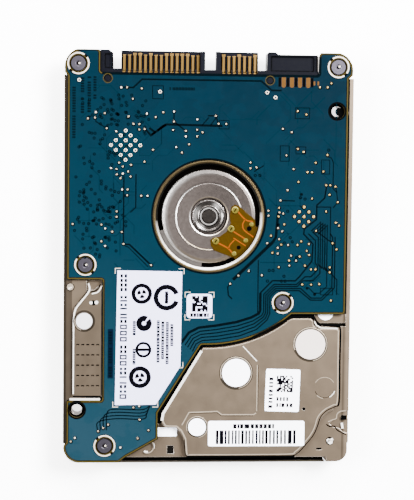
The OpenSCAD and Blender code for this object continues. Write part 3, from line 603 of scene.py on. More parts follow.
# ---------------------------------------------------------------- bare laminate border of the board
edge_pts = ([(-33.85, 43.9), (-34.5, 44.8)] + sweep((-30.4, 46), 4.15, 180, 90, 12) + [(-27.4, 50.15)]
            + sweep((-27.4, 49.35), 0.8, 90, 0, 6) + sweep((-25.8, 45.3), 0.8, 180, 270, 6)
            + sweep((25.7, 45.3), 0.8, 270, 360, 6) + sweep((27.3, 49.2), 0.8, 180, 90, 6)
            + sweep((30.2, 45.9), 4.1, 90, 0, 12) + [(34.25, 45), (33.3, 44.1)]
            + sweep((32.9, -12.5), 0.4, 0, -90, 4) + sweep(SPINDLE, 31, -49.1, -91.5, 24)
            + sweep((-1.2, -21.4), 0.9, 100, 146, 3) + [(-12.2, -37.3), (-12.2, -43.6), (-19.8, -47.9), (-21.5, -49.2)]
            + sweep((-31, -45.7), 3.5, 270, 180, 10) + [(-34.4, -45.2), (-33.85, -44.6), (-33.85, -34.6)]
            + sweep((-25.9, -34), 0.6, 270, 360, 4) + sweep((-25.9, -5.3), 0.6, 0, 90, 4) + [(-33.85, -4.7)])
cut_at = next(i for i, q in enumerate(edge_pts) if q[0] > -25.9 and q[1] < 45.4)
back_at = next(i for i, q in enumerate(edge_pts) if q[0] > 26.4 and q[1] > 49)
bm = bmesh.new()
strip(bm, edge_pts[back_at:] + edge_pts[:cut_at], 0.28, ZF + 0.002)
for v in bm.verts:
    v.co.y = min(v.co.y, PLUG_END * MM)
add("board_cut_edge", bm, "laminate")
bm = bmesh.new()
strip(bm, edge_pts, 0.62, ZF - 0.003, closed=True)
disc(bm, SPINDLE, 13.62, 14.02, ZF - 0.003, 96)
for v in bm.verts:
    v.co.y = min(v.co.y, PLUG_END * MM)
    v.co.x = max(-HALF_WIDTH * MM, min(v.co.x, HALF_WIDTH * MM))
add("board_mask_rim", bm, "trace")

# ---------------------------------------------------------------- traces
bm = bmesh.new()
THICK = [
    ([(-21.3, 41.2), (-18.5, 41.2), (-16.4, 43.2), (12.3, 43.2), (14.8, 41), (17.2, 41)], 0.26),
    ([(-14, 30), (-10.5, 32.5), (3, 32.3)], 0.34),
    ([(-0.5, 34.7), (1.4, 34.7), (2.0, 32.8)], 0.2),
    ([(-20.6, 20), (-20.6, 3.6)], 0.2),
    ([(-20.6, 3.6), (-19.2, 3.6), (-14, -1.3)], 0.26),
    ([(-20.2, 3.2), (-19.5, 3.0), (-14.6, -1.8)], 0.14),
    ([(-17.7, 20.5), (-17.7, 12.5), (-19, 11.3)], 0.18),
    ([(6, -4.8), (15.6, 4.4)], 0.5), ([(15.6, 4.4), (16.3, 5.6), (16.5, 8.0), (16.8, 11.6)], 0.42),
    ([(5.3, -5.8), (4.7, -6.6), (4.9, -8.6), (5.8, -9.5)], 0.2), ([(12.1, 0), (12.1, -13)], 0.16),
    ([(-4.6, -7.2), (-4.6, -8)], 0.2),
    ([(28.6, 25.2), (29.6, 24.9), (30.1, 23.8), (30.1, 17.5), (31, 16.6)], 0.15),
    ([(-15.6, 31.4), (-14.2, 29.8), (-13.2, 30.6), (-14.6, 31.6)], 0.3),
    ([(13.2, 22.9), (10.8, 21.4)], 0.16),
    ([(-27.4, 35.2), (-27.4, 33), (-24.8, 31.4)], 0.16),
    ([(-8.7, 35.6), (-8.7, 33.2), (-5.8, 31)], 0.2),
    ([(-1.9, 32.4), (-0.3, 34.3)], 0.16), ([(0.1, 32.4), (1.5, 34.3)], 0.16),
    ([(-12.6, 31), (-11.4, 32), (-10.6, 32.4)], 0.4),
    ([(29.6, -1.7), (29.6, -2.9), (31.4, -4.7), (31.4, -8.4)], 0.16),
    ([(26.1, 7.2), (30.2, 4.2), (31.2, 2.7)], 0.16),
]
for pts, w in THICK:
    strip(bm, pts, w * 1.5, ZT)
# the bus that follows the motor round, turns up past the rear screw and climbs the right side
BUS = [((-6.4, -20.2), (0.9, -0.6), (0.6, -0.5)), ((-4.6, -17.7), (0.6, -0.8), (0.4, -0.65)),
    ((-2.2, -16.5), (0.3, -0.9), (0.2, -0.75)),
       ((2, -16), (0.1, -0.95), (0.05, -0.82)), ((7, -15.1), (0.2, -0.95), (0.15, -0.82)),
       ((10.5, -14), (0.4, -0.85), (0.3, -0.7)),
       ((12.4, -13), (0.7, -0.5), (0.45, -0.35)), ((12.7, -12.3), (0.85, -0.3), (0.5, -0.15)),
       ((12.7, -8), (0.85, -0.3), (0.5, -0.2)),
       ((15.6, -5), (0.4, -0.9), (0.2, -0.5)), ((21.2, -5), (0.3, -0.9), (0.2, -0.5))]
strip(bm, [p for p, _, _ in BUS[:9]], 0.62, ZT)
strip(bm, [p for p, _, _ in BUS[8:]] + [(22.2, -4), (25.2, -0.2), (25.4, 4), (23.1, 6.4), (23.2, 7.6), (26.2, 10),
    (26.2, 13.4),
                                       (28.1, 15.2), (28.5, 17.8)], 0.34, ZT)
TAILS = [[(23.6, -4), (25, -4), (26.6, -2.3), (26.6, -1.4), (26, -0.6), (26, 4.8), (24.2, 6.5)],
         [(23, -5), (25.6, -4.9), (27.2, -3.2), (27.2, -1.6), (26.7, -0.9), (26.7, 5.6), (25.2, 7)],
         [(22.6, -6.9), (25.1, -9.2), (27.6, -9.2), (30.2, -6.6), (30.2, 5.6), (29.6, 6.6)],
         [(22.2, -7.4), (25, -9.7), (27.8, -9.7), (30.8, -6.7), (30.8, 5.8)]]
for k in range(4):
    strip(bm, [(p[0] + f[0] + k * d[0], p[1] + f[1] + k * d[1]) for p, f, d in BUS] + TAILS[k], 0.27, ZT)
for k in range(4):
    x, top = 27.2 + 0.55 * k, 9.3 - 0.25 * k
    strip(bm, [(x - 2.3, top - 2.2), (x, top), (x, -1.2 - 0.3 * k), (x + 0.5, -2 - 0.3 * k)], 0.28, ZT)
strip(bm, [(24.4, -6.6), (25.8, -8.0), (27.2, -8.0), (28.9, -6.4), (28.9, -2.4), (28.3, -1.6)], 0.22, ZT)
strip(bm, [(26.2, 13), (29.6, 13), (29.6, 4.9), (30.4, 4.2)], 0.22, ZT)
strip(bm, [(30.7, 18), (31, 16.8), (31.3, 14.2), (30.2, 12.8)], 0.22, ZT)
strip(bm, [(17.4, 14.5), (20.8, 14.4)], 0.26, ZT)
strip(bm, [(29.6, -1.8), (29.6, -2.9)], 0.5, ZT)
for c in ((24.1, -6.8), (26, -8.3), (22.4, 16), (16.9, 8.6)):
    disc(bm, c, 0, 0.36, ZT, 16)
for k in range(4):
    y = -36.4 - 0.78 * k
    strip(bm, smooth_line([(-13.2 - 0.5 * k, -34.6 - 0.9 * k), (-15.5, y - 0.1), (-22, y),
                           (-24.2 - 0.72 * k, y - 0.8), (-24.4 - 0.72 * k, -41.6)]), 0.26, ZT)
add("board_traces", bm, "trace")

# fainter, thinner routing seen only as a change of shade
bm = bmesh.new()
rnd = random.Random(11)
for k in range(90):
    zone = rnd.choice([(-33, 18, -16, 43), (-33, -3, -16, 18), (14, -9, 32, 22), (16, 22, 32, 41), (-14, 24, 14, 42)])
    x, y = rnd.uniform(zone[0], zone[2]), rnd.uniform(zone[1], zone[3])
    pts = [(x, y)]
    d = rnd.randrange(8)
    for _ in range(rnd.randint(2, 4)):
        d += rnd.choice((-1, 0, 1))
        l = rnd.uniform(1.0, 4.5)
        x, y = x + l * math.cos(d * math.pi / 4), y + l * math.sin(d * math.pi / 4)
        pts.append((x, y))
    if all(-32.8 < u < 32.4 and -9 < v < 43 and math.dist((u, v), SPINDLE) > 15 and not (u < -24 and v < -3.8)
           for u, v in pts):
        strip(bm, pts, rnd.choice((0.12, 0.14, 0.2)), ZF)
add("board_faint_traces", bm, "trace_faint")

# component outlines seen through the mask
bm = bmesh.new()
for x0, y0, x1, y1 in ((20.6, 34.3, 24.1, 36.9), (17.1, 24, 19.3, 27.7), (20.9, 25.8, 23.3, 27.5),
        (27.2, 21, 29.2, 24.4),
                       (-13.9, 38.6, -11.3, 41.7), (2.2, 31.6, 4.6, 33.6), (27.4, -8.4, 30.4, -6.8)):
    strip(bm, rect(x0, y0, x1, y1), 0.16, ZT, closed=True)
add("board_outlines", bm, "trace")

# ---------------------------------------------------------------- vias
VIAS = """-21.4,41.2 -20,41.2 -16.5,41 -18.6,38.5 -27.4,35.2 -25.3,35 -29.3,33.7 -27.6,33.9 -15.2,35 -19.6,34.3
-13.1,34.2 -11.3,35.4 -8.7,35.6 -18.4,32.5 -17,32.5 -24.8,31.4 -22.5,30.7 -17,31.2 -15.7,31.3 -8.7,33.2 -3.1,33.8
-8.9,31.2 -5.8,31 -3.1,31.3 -5.8,29.7 -3.1,29.7 -1.8,30.7 -5,27.8 -8.1,27.1 -6.7,25.8 -13.7,26.4 1.4,34.7 2.05,32.8
3.9,32.8 17.65,31.8 19.8,31 21.2,36.1 23.3,35.3 18.6,25.4 21.4,27 22.8,26.3 27.7,21.6 -21.8,23.2 -20.9,22.3
-23.7,21.9 -22.4,21.7 -18.9,22.7 -22.3,20.4 -20.9,20.6 -19.6,21.1 -21.4,19.5 -19,19.9 -21,16.8 -19.7,16.8 -19.8,15.4
-16.4,15.3 -14.9,15.3 -22.3,11.5 -22.3,10.2 -25.9,8.3 -25,7.4 -23.3,6.6 -21,6.6 -25.9,4.3 -25,3.2 -20.6,3.7
-13.9,-1.4 -15.7,23.5 9.9,23.6 9.9,22.2 11.4,22.4 20.4,22.1 25.8,23.7 23.8,21.4 24.9,21.4 21.6,19 19,17 28.4,18.3
29.4,18.3 30.7,18 29.3,16 31.3,14.2 25,15 17.3,14.5 17,12.7 17.1,11.6 18,11.3 16.9,10.6 14.4,12 14.4,10.8 18.3,8.7
16.8,7.8 17.8,7 15.1,5.9 17.1,5.1 14.2,4.1 17.6,3.8 19.3,3.7 21.6,3.7 22.5,4.6 24.4,4 16.8,3 15.5,1.8 16.8,1.6
23.9,2.3 24.5,1.3 20.1,1.1 22.2,.9 19.6,-.1 21.3,-.1 19.7,-1.3 17.1,-1.7 23.5,-1.3 28.5,11.9 30.9,9.2 31.7,8.5
26.1,7.2 30.2,4.2 31.2,2.7 29.6,-1.7 29.6,-2.9 7.3,-3.8 9.8,-2.7 5.3,-5.8 13,-3.7 22.9,-5.9 25.1,-5.9 27.1,-5.8
25,-2.2 26.1,-2.2 30,-9.8 -17.9,-36 -16.5,-35.7 -16.4,-39 -14.2,-41.6 -16.8,-43.6 -21,-45.8 -24,-40.2 -25.2,-41
-26.4,-41.8 -32,-43.4 -33,-44.3 26.5,41.9 28.4,41.9 29.3,42.9 -32.8,8.4 28.6,25.6"""
spots = [tuple(map(float, q.split(","))) for q in VIAS.split()]
via, gilt, pale, dark, tented = (bmesh.new() for _ in range(5))
for i, c in enumerate(spots):
    r = 0.2 + 0.03 * rnd.random()
    disc(dark, (c[0] + 0.05, c[1] - 0.05), 0, r + 0.24, ZF + 0.006, 14)
    disc(gilt if c[0] > 21.5 or (c[0] > 12 and i % 3 == 0) else via if (c[0] > -3 or i % 4) else pale, c, 0, r, ZH, 14)
for c in ((-31.4, 42.8), (-12.1, 40.3), (13.75, 40.45), (15.75, 39.3)):
    disc(pale, c, 0.24, 0.42, ZH, 20)
    disc(dark, c, 0, 0.6, ZT, 16)
# thermal via fields under the two largest chips
for cx, cy, n, mat_bm in ((-20.25, 27.4, 4, pale), (23.1, 10.6, 3, gilt)):
    for i in range(n):
        for j in range(n):
            u, v = (i - (n - 1) / 2) * 1.17, (j - (n - 1) / 2) * 1.17
            c = (cx + u - v, cy + u + v)
            disc(mat_bm, c, 0.22 if n == 4 else 0.0, 0.42 if n == 4 else 0.34, ZH, 18)
            disc(dark, c, 0, 0.58, ZT, 16)
# tented vias: small dark rings
for k in range(185):
    zone = rnd.choice([(-32.6, 24, -22, 40), (-32.6, 0, -24, 22), (-30, 30, -14, 40), (-27, 32, -15, 39),
        (-29, 2, -22, 14), (-25, 8, -20, 30), (-31, 0, -24, 26)])
    x, y = rnd.uniform(zone[0], zone[2]), rnd.uniform(min(zone[1], zone[3]), max(zone[1], zone[3]))
    if math.hypot(x - SPINDLE[0], y - SPINDLE[1]) < 15 or (x < -24.9 and y < -4) and y > -35.5:
        continue
    disc(tented, (x, y), 0.13, 0.38, ZF, 14)
for x, y in ((11.1, 20.5), (12.2, 20.5), (22.2, 15.2), (23.3, 14.9), (19.1, 11.9), (19.8, 5.5), (20.3, 4.5),
        (18.4, 4.2),
             (14.8, -2.5), (15.7, -2.5), (14.4, -5.1), (17.8, -5.1), (18.7, -5.1), (21.4, 0.7), (18.4, -3.9),
             (28.9, 26.8)):
    disc(tented, (x, y), 0.14, 0.4, ZF, 14)
add("tented_vias", tented, "trace_mid")
add("plated_vias", via, "via")
add("gilded_vias", gilt, "via_gold")
add("tinned_vias", pale, "via_pale")
add("via_shadows", dark, "trace")

# ---------------------------------------------------------------- split plated rings round the board screws
gold, brown, dim = bmesh.new(), bmesh.new(), bmesh.new()
for (x, y), gap in zip(SCREWS, (45, 135, 135, 45, 135)):
    disc(brown, (x, y), 2.12, 2.3, ZH + 0.004, 48)
    disc(dim, (x, y), 2.12, 2.78, ZF + 0.004, 48)
    for a in (gap, gap + 180):
        disc(gold, (x, y), 2.3, 2.62, ZH, 30, a + 10, a + 170)
for x, y in ((-24.6, 43.35), (14.4, 43.35)):
    disc(brown, (x, y), 1.0, 1.16, ZT, 28)
add("screw_pad_rings", gold, "via_pale")
add("screw_pad_grounds", brown, "laminate")
add("screw_pad_splits", dim, "hole")
# painted shade in the screw sockets and round the edge of each head, and a painted highlight on each head
star, glint = bmesh.new(), bmesh.new()
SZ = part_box("board_screws")[1][2] / MM
for i, (x, y) in enumerate(SCREWS):
    disc(star, (x, y), 0, 0.42, SZ + 0.012, 6)
    disc(star, (x, y), 1.72, 1.86, SZ + 0.008, 40)
    disc(glint, (x + 0.22, y + 0.14 * (i % 2)), 0, 0.24, SZ + 0.02, 10)
add("screw_sockets", star, "hole")
add("screw_glints", glint, "via_pale")
# the shaded flanks of the plug contacts
bm = bmesh.new()
CONTACT_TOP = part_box("power_contacts")[0][2] / MM + 0.15
for row, count in (("power_contacts", 15), ("data_contacts", 7)):
    (x0, _, _), (x1, y1, _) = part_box(row)
    x0, x1, y1 = x0 / MM, x1 / MM, y1 / MM
    wide = x1 - x0 - PLUG_PITCH * (count - 1)
    for k in range(count):
        for side in (0, 1):
            xs = x0 + PLUG_PITCH * k + side * wide
            strip(bm, [(xs, 45.0), (xs, y1 - 0.55)], 0.24, CONTACT_TOP + 0.01)
    strip(bm, [(x0, 45.25), (x1, 45.25)], 0.16, CONTACT_TOP + 0.012)
add("contact_flanks", bm, "contact_shade")
bm = bmesh.new()
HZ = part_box("connector_housing")[1][2] / MM + 0.01
strip(bm, rect(14.7, 45.7, 24.9, 49.2), 0.16, HZ, closed=True)
strip(bm, [(25.6, 45.6), (25.6, 49.6)], 0.16, HZ)
strip(bm, rect(-25.2, 45.9, -23.6, 49.2), 0.14, HZ, closed=True)
add("plug_block_lines", bm, "hole")
# painted shade round and inside the two face holes, with a painted black half over the right side of the upper right
# hole
hole_rims = bmesh.new()
for x, y in FACE_HOLES:
    disc(hole_rims, (x, y), 1.85, 2.25, ZT, 40)
    disc(hole_rims, (x, y), 1.27, 1.84, 5.9, 40)
disc(hole_rims, (31.4, 36.1), 0, 0.98, 5.89, 24)
add("face_hole_rims", hole_rims, "hole")

# ---------------------------------------------------------------- service pads by the plug
pads, gaps = bmesh.new(), bmesh.new()
for x in (17.7, 19.7, 21.65, 23.65):
    patch(pads, [(x - 0.5, 44.15)] + sweep((x, 42.2), 0.5, 180, 360, 8) + [(x + 0.5, 44.15)], ZH)
for x in (16.75, 18.7, 20.68, 22.65, 24.6):
    patch(gaps, rect(x - 0.32, 41.9, x + 0.32, 44.1), ZT)
patch(pads, rect(24.95, 42.35, 25.35, 43.3), ZH)
patch(pads, rect(25.9, 42.35, 26.3, 43.3), ZH)
add("service_pads", pads, "pad")
add("service_pad_gaps", gaps, "hole")
bm = bmesh.new()
for x, y, w, hgt in ((-33.0, 29, 0.8, 13), (-31.0, 35, 0.8, 9), (-29.4, 34, 0.8, 10), (-28.0, 38.4, 0.7, 6)):
    for k in range(int(hgt / 0.62)):
        if rnd.random() < 0.85:
            patch(bm, rect(x, y + 0.62 * k, x + w, y + 0.62 * k + 0.36), ZT)
for k in range(17):
    if rnd.random() < 0.85:
        patch(bm, rect(-9.8 + 0.36 * k, 40.7, -9.55 + 0.36 * k, 41.4), ZT)
add("board_print_marks", bm, "trace")
bm = bmesh.new()
patch(bm, rect(-24.2, -28.9, -22.9, -16.9), ZF + 0.001)
add("board_print_panel", bm, "print")
bm = bmesh.new()
for k in range(17):
    if k % 7 != 4:
        patch(bm, rect(-23.95, -28.5 + 0.66 * k, -23.2, -28.1 + 0.66 * k), ZT)
strip(bm, [(-25.42, -33.6), (-25.42, -5.6)], 0.2, ZT)
add("board_print_dashes", bm, "trace")


# ---------------------------------------------------------------- labels: plain marks only
def bars(bm, x0, y0, x1, y1, z, step, fill, seed, along="x", turn=0.0, c=None):
    """Rows of short strokes that stand for lines of print."""
    r = random.Random(seed)
    p = y0 if along == "y" else x0
    end = y1 if along == "y" else x1
    while p < end:
        w = step * r.choice((0.6, 1.0, 1.0, 1.5))
        if p + w > end:
            break
        box = (x0, p, x1, p + w * fill) if along == "y" else (p, y0, p + w * fill, y1)
        patch(bm, rect(*box, turn, c), z)
        p += w


def matrix(bm, x0, y0, size, n, z, seed, turn=0.0, c=None):
    """A square of random cells, each a little over its own place so that neighbours join."""
    r = random.Random(seed)
    s, over, share = size / n, 0.06, 0.72
    for i in range(n):
        for j in range(n):
            if r.random() < share:
                x, y = x0 + i * s, y0 + j * s
                patch(bm, rect(x - over * s, y - over * s, x + (1 + over) * s, y + (1 + over) * s, turn, c), z)


ink = bmesh.new()
ZI = LABEL_TOP + 0.012
r = random.Random(3)
y = -33.9
while y < -4.6:
    for k in range(r.randint(3, 7)):
        if y > -4.4:
            break
        kind = r.randrange(4)
        if kind == 0:
            patch(ink, rect(-21.3, y, -19.6, y + 0.42), ZI)
            y += 0.78
        elif kind == 1:
            strip(ink, rect(-21.12, y + 0.18, -19.78, y + 0.98), 0.36, ZI, closed=True)
            y += 1.5
        else:
            for x in (-21.25, -20.25):
                patch(ink, rect(x, y, x + 0.6, y + 0.62 + 0.2 * (kind - 2)), ZI)
            y += 1.1
    y += 0.65
for c, r0, r1 in (((-16.1, -8.3), 1.55, 2.5), ((-15.6, -21.9), 1.3, 1.95), ((-16.4, -28.6), 1.6, 2.7)):
    disc(ink, c, r0, r1, ZI, 40)
disc(ink, (-10.1, -9.2), 2.0, 3.15, ZI, 40, 20, 340)
disc(ink, (-15.5, -15.5), 0.5, 1.9, ZI, 36, 60, 400)
for c, k in (((-16.1, -8.3), 1.1), ((-16.4, -28.6), 1.15)):
    for a in (0, 120, 240):
        disc(ink, c, 0.2, k, ZI, 8, a, a + 75)
for x, y0, y1, s in ((-12.4, -25, -14.6, 1), (-11.3, -24.2, -14.6, 2), (-10.2, -25.4, -14.8, 4), (-9.1, -21, -15, 5),
                     (-18.2, -25.5, -21.5, 6), (-18.2, -18.4, -14.6, 9)):
    bars(ink, x, y0, x + 0.72, y1, ZI, 0.5, 0.84, s, "y")
patch(ink, rect(-16.9, -22.25, -14.3, -21.55), ZI)
patch(ink, rect(-10.5, -10.7, -9.7, -7.7), ZI)
# the small board label
matrix(ink, -3.9, -12.6, 3.8, 9, ZI, 21)
bars(ink, -4.3, -13.9, 0.6, -13.0, ZI, 0.8, 0.8, 22)
add("board_label_marks", ink, "ink")
ink = bmesh.new()
ZD = DECK_LABEL_TOP + 0.004
lc = (18.4, -31.8)
matrix(ink, 16.9, -32.2, 4.0, 11, ZD, 34, -1.6, lc)
bars(ink, 15.05, -36.2, 16.05, -28.0, ZD, 0.85, 0.55, 41, "y", -1.6, lc)
for x, y, s in ((20.9, -34.4, 51), (21.8, -35.9, 52)):
    bars(ink, 17.0, y, x, y + 0.95, ZD, 0.8, 0.6, s, "x", -1.6, lc)
r = random.Random(61)
x = 2.2
while x < 21.7:
    w = r.choice((0.42, 0.5, 0.5, 0.66, 0.95))
    patch(ink, rect(x, -45.0, x + w, -41.6), ZD)
    x += w + r.choice((0.26, 0.32, 0.45))
bars(ink, 6.4, -41.15, 17.2, -40.05, ZD, 1.05, 0.8, 62)
add("deck_label_marks", ink, "ink")
cut = bmesh.new()
for x, y, sx, sy in ((-22.5, -2.2, 1, -1), (-5.9, -2.2, -1, -1), (-22.9, -35.9, 1, 1), (-12, -35.9, -1, 1),
        (-6.0, -26.3, -1, 1),
                     (-5.6, -7.9, 1, -1), (-5.6, -14.6, 1, 1), (1.4, -14.6, -1, 1), (1.4, -7.9, -1, -1)):
    strip(cut, [(x + 1.3 * sx, y), (x, y), (x, y + 1.3 * sy)], 0.14, ZH)
add("label_corner_marks", cut, "via_pale")

# seals sit in a shallow recess pressed into the deck; the ring round each is painted shade
rings = bmesh.new()
for c, r0, r1, z in ((PIVOT, 3.55, 4.15, DECK_TOP), (PORT_SEAL, 3.7, 4.3, DECK_TOP), (REAR_SEAL, 2.2, 2.5, DECK_TOP),
                     (PAD_SEAL, 2.15, 2.65, DECK_TOP - 0.4)):
    disc(rings, c, r0, r1, z + 0.006, 48)
M["recess"] = plain("painted_recess_shade", (0.022, 0.017, 0.012), 0.5, 0.95, 8, 0.2, 0)
add("seal_recess_rings", rings, "recess")

# painted shade in the pressed lines and grooves, and painted highlights on the rounded edges of the deck and of the pad
# in the side window
M["painted_highlight"] = plain("painted_highlight_metal", (0.80, 0.76, 0.70), 0.3, 0.6, 6, 0.1, 0)
M["soft_highlight"] = plain("painted_soft_highlight", (0.30, 0.245, 0.185), 0.4, 0.8, 6, 0.15, 0)
groove_shade, lit, soft = bmesh.new(), bmesh.new(), bmesh.new()
# artwork heights on the deck, the ledge below it and the pad in the side window
ZK = DECK_TOP + 0.006
ZL = ZK - 0.9
ZP = DECK_TOP - 0.4 + 0.006
for pts, w in (([(-1.5, -22.15), (-10.7, -37.5), (-10.95, -39.2)], 0.62), ([(8.6, -21), (12.0, -24.6)], 0.22),
               ([(26.0, -14.9), (26.5, -15.8), (27.6, -16.45), (31.7, -16.6)], 0.26)):
    strip(lit, pts, w, ZK)
for pts, w in (([(-10.75, -39.2), (-10.1, -40.5), (-7.4, -40.6), (-6.2, -41.6), (-5.2, -43.6), (-4.8, -47.5)], 0.34),
               ([(-6.1, -40.3), (-4.4, -37.2), (2.5, -36.95), (3.6, -37.75), (11.4, -37.75), (12, -37.35)], 0.26),
               ([(12.15, -25.6), (12.15, -36.9)], 0.22),
               (sweep(BOSS, 2.6, 30, 150, 24), 0.12), (sweep(BOSS, 2.6, 225, 262, 8), 0.2),
               (smooth_line([(31.95, -17.0), (31.95, -25), (31.95, -34.4), (30.9, -35.4), (28.8, -36.6), (27.2, -38.4),
               (26.4, -41),
                             (25.3, -43), (22.9, -45.9), (21.6, -47.0), (20.4, -47.5), (10, -47.6), (-4.4, -47.6)]),
                             0.22)):
    strip(soft, pts, w, ZK)
strip(lit, sweep(BOSS, 2.6, 298, 342, 10), 0.2, ZK)
# the shaded foot of the raised deck, down the right side and round the rear corner
shade_line = smooth_line([(31.6, -16.45), (32.55, -16.9), (32.55, -25), (32.55, -34.7), (31.5, -35.75), (29.4, -36.8),
    (27.9, -38.4),
                          (27.05, -40.9), (26.0, -43.1), (23.6, -46), (22.2, -47.4), (21, -48.0)])
strip(groove_shade, shade_line[:22], 0.42, ZL)
strip(groove_shade, shade_line[21:], 0.24, ZK - 0.003)
for pts, w in (([(12.4, -25.6), (12.4, -36.9)], 0.12), (sweep(BOSS, 2.45, 200, 340, 16), 0.12),
               ([(-4.2, -37.5), (2.4, -37.25), (3.5, -38.05), (11.3, -38.05)], 0.12),
               ([(-5.5, -43.8), (-5.15, -47.8)], 0.2)):
    strip(groove_shade, pts, w, ZK)
# painted soft highlights round the rims of the seal recesses
for c, r in ((PIVOT, 3.42), (PORT_SEAL, 3.65), (REAR_SEAL, 2.15)):
    disc(soft, c, r + 0.34, r + 0.5, ZK + 0.003, 30, -80, 25)
    disc(soft, c, r + 0.3, r + 0.5, ZK + 0.003, 40, 25, 200)
# side window: pad outline and rear step in painted highlight and painted shade, dimples with painted highlights and
# shade, and the tool's dashes
for pts, w in (([(-32.45, -17.5), (-32.45, -32.7)], 0.26), ([(-33.3, -34.0), (-26.0, -34.0)], 0.5),
               (smooth_line([(-28.9, -5.9), (-28.7, -7.6), (-30.4, -10), (-31.9, -12), (-32.4, -14.2),
               (-32.45, -17.5)]), 0.34),
               (smooth_line([(-25.6, -6.3), (-26.6, -7.9), (-28.1, -8.4)]), 0.26)):
    strip(lit, pts, w, ZP)
for pts, w in (([(-32.75, -16), (-32.75, -32.9)], 0.18), ([(-32.6, -33.3), (-25.8, -33.3)], 0.34),
               (smooth_line([(-29.25, -5.6), (-29.1, -7.5), (-30.9, -9.9), (-32.3, -11.9), (-32.75, -14),
               (-32.75, -16)]), 0.16),
               (smooth_line([(-26.0, -6.0), (-27.0, -7.5), (-28.5, -8.0)]), 0.3),
               ([(-25.75, -5.6), (-25.75, -33)], 0.14)):
    strip(groove_shade, pts, w, ZP + 0.002)
for y in (-20.7, -23.2, -25.7, -28.2, -30.7):
    for k in range(5):
        strip(groove_shade, [(-31.75 + 1.2 * k, y), (-31.05 + 1.2 * k, y)], 0.26, ZP + 0.06)
disc(groove_shade, DIMPLE, 0, 1.0, ZP - 0.42, 24)
disc(soft, DIMPLE, 0, 0.8, ZP - 0.41, 24)
disc(lit, (-33.55, -7.15), 0, 0.26, ZP - 0.40, 16)
disc(lit, (-33.1, -6.9), 0, 0.16, ZP - 0.40, 16)
disc(groove_shade, (-27.75, -10.6), 0, 0.62, ZP, 24)
disc(lit, (-28.3, -10.6), 0, 0.36, ZP + 0.003, 14)
disc(lit, (-27.0, -10.5), 0, 0.42, ZP + 0.003, 14)
disc(groove_shade, PAD_SEAL, 2.2, 2.32, ZP + 0.002, 30, -75, 60)
disc(soft, PAD_SEAL, 2.2, 2.36, ZP + 0.002, 20, 170, 250)
# rear right: breakout, hole, slot and rivet
strip(groove_shade, [(27.05, -46.4), (28.35, -46.4)], 0.42, ZL)
strip(groove_shade, smooth_line([(29.5, -40.35), (30.2, -40.85), (31.5, -40.9), (32.2, -41.8), (33.0, -42.25),
    (34.4, -42.9)]), 0.3, ZL)
strip(soft, smooth_line([(29.9, -39.7), (30.9, -39.3), (31.9, -38.9), (32.1, -37.9), (32.9, -37.2), (34.3, -37.0)]),
    0.22, ZL)
strip(groove_shade, [(33.1, -38.75), (34.5, -38.75)], 1.0, ZL)
strip(lit, [(33.3, -40.0), (33.5, -41.4)], 0.55, ZL)
disc(groove_shade, (30.35, -44.5), 0, 1.0, ZL, 20)
disc(groove_shade, (23.7, -36.4), 0, 0.42, ZK + 0.004, 20)
strip(groove_shade, [(11, -18.75), (14.4, -17.1), (20.1, -13.85), (25.9, -13.85), (26.5, -14.9), (27.5, -15.85),
    (32.3, -16.0)], 0.5, ZK - 0.002)
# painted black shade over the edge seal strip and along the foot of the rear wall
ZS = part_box("edge_seal_strip")[1][2] / MM + 0.012
strip(groove_shade, [(-21.5, -48.9), (29.2, -48.9)], 1.5, ZS)
strip(groove_shade, [(-4.9, -48.05), (21.6, -48.05)], 0.42, ZK + 0.002)
# painted highlights on the round boss on the rear ledge
disc(soft, (-14.5, -45.7), 1.5, 1.75, ZL, 24, -110, 70)
disc(lit, (-14.6, -45.8), 1.0, 1.4, ZL, 8, -120, -75)
disc(lit, (-14.4, -45.7), 1.45, 1.75, ZL, 8, -15, 30)
strip(groove_shade, [(-13.5, -48.22), (22.5, -48.22)], 0.3, DECK_TOP - 2.18)
add("deck_pressed_lines", groove_shade, "hole")
add("deck_lit_lines", lit, "painted_highlight")
add("deck_soft_lines", soft, "soft_highlight")

# circuit tracks and terminals of the motor's flexible circuit
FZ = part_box("motor_flex")[1][2] / MM
bm = bmesh.new()
for pts, w in (([(6.6, 12.2), (8.8, 9.8), (10.7, 9.3)], 0.34), ([(8.8, 9.8), (8.2, 8.6), (8.6, 7.2), (10.8, 5.6)], 0.3),
               ([(5.8, 7.0), (9.0, 5.0)], 0.34), ([(6.0, 5.3), (9.0, 3.4)], 0.28),
               ([(6.2, 4.8), (5.2, 3.7), (4.8, 2.7)], 0.28),
               ([(2.2, 4.1), (4.7, 2.8), (6.1, 1.2)], 0.36)):
    strip(bm, smooth_line(pts, 4), w, FZ + 0.012)
M["track"] = plain("track_under_film", (0.085, 0.0185, 0.0001), 0.3, 0, 5, 0.2, 0, 0.1, Specular_IOR_Level=0.1)
add("motor_flex_tracks", bm, "track")
bm = bmesh.new()
for c in ((6.3, 12.0), (5.4, 7.5), (1.7, 4.5)):
    disc(bm, c, 0.36, 0.74, FZ + 0.2, 24)
add("motor_flex_terminals", bm, "solder")
bm = bmesh.new()
for x, y, t in ((6.3, 12.0, 60), (5.4, 7.5, 60), (1.7, 4.5, 60)):
    patch(bm, rect(x - 0.42, y - 0.13, x + 0.42, y + 0.13, t), FZ + 0.21)
for c, r in (((9.8, 7.6), 0.6), ((7.3, 3.0), 0.5)):
    disc(bm, c, 0, r, FZ + 0.01, 20)
add("motor_flex_slots", bm, "hole")

# the rivet on the rear ledge, drawn as painted highlights
bm = bmesh.new()
for p, r in (((30.5, -44.7), 0.62), ((30.0, -44.3), 0.4), ((30.9, -44.15), 0.35)):
    disc(bm, p, 0, r, ZL + 0.006, 20)
add("ledge_rivet", bm, "painted_highlight")

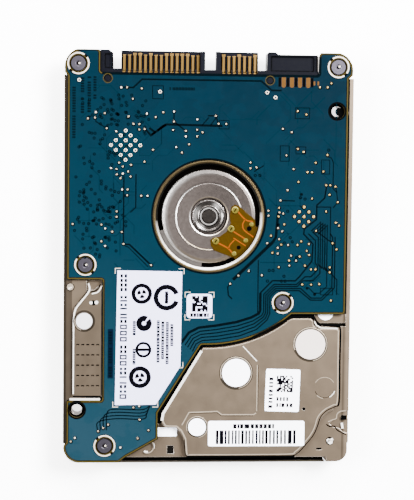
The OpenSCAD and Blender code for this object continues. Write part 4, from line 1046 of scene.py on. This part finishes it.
# ---------------------------------------------------------------- floor, lights and finish
floor_mat = Mat("floor_paper", (0.93, 0.93, 0.93), 0.8)
floor_mat.base(floor_mat.mix(floor_mat.noise(0.02, 2), (0.92, 0.92, 0.93), (0.95, 0.95, 0.95)))
put(floor_mat.b, Emission_Color=(1, 1, 1, 1), Emission_Strength=2.8)  # keeps the paper white as in the studio
floor_mat.bump(floor_mat.noise(3, 3), 0.05, 0.02)
bm = bmesh.new()
bmesh.ops.create_grid(bm, x_segments=1, y_segments=1, size=3.0)
me = bpy.data.meshes.new("floor")
bm.to_mesh(me)
bm.free()
me.materials.append(floor_mat.m)
floor = OBJ.new("floor", me)
floor.location.z = -0.00005
bpy.context.collection.objects.link(floor)


def area(name, loc, target, size, power, color=(1, 1, 1)):
    d = bpy.data.lights.new(name, "AREA")
    d.shape = "RECTANGLE"
    d.size, d.size_y = size
    d.energy = power
    d.color = color
    o = OBJ.new(name, d)
    o.location = loc
    o.rotation_euler = (Vector(target) - Vector(loc)).to_track_quat("-Z", "Y").to_euler()
    bpy.context.collection.objects.link(o)


area("key_softbox", (0.45, 0.35, 0.55), (0, 0, 0), (0.35, 0.35), 60.0)
area("fill_softbox", (-0.62, 0.1, 0.42), (0, 0, 0), (0.5, 0.4), 30.0, (0.97, 0.98, 1))
area("rear_softbox", (0.0, 0.7, 0.4), (0, 0, 0), (0.8, 0.3), 28.0)
world = bpy.data.worlds.new("studio")
bpy.context.scene.world = world
world.use_nodes = True
wt = world.node_tree
tc = wt.nodes.new("ShaderNodeTexCoord")
sep = wt.nodes.new("ShaderNodeSeparateXYZ")
wr = wt.nodes.new("ShaderNodeValToRGB")
horizon, zenith = wr.color_ramp.elements
horizon.position, horizon.color = 0.25, (1.6, 1.6, 1.62, 1)
zenith.position, zenith.color = 0.98, (0.5, 0.47, 0.45, 1)
wt.links.new(tc.outputs["Generated"], sep.inputs[0])
wt.links.new(sep.outputs["Z"], wr.inputs[0])
wt.links.new(wr.outputs[0], wt.nodes["Background"].inputs["Color"])
put(wt.nodes["Background"], Strength=0.9)
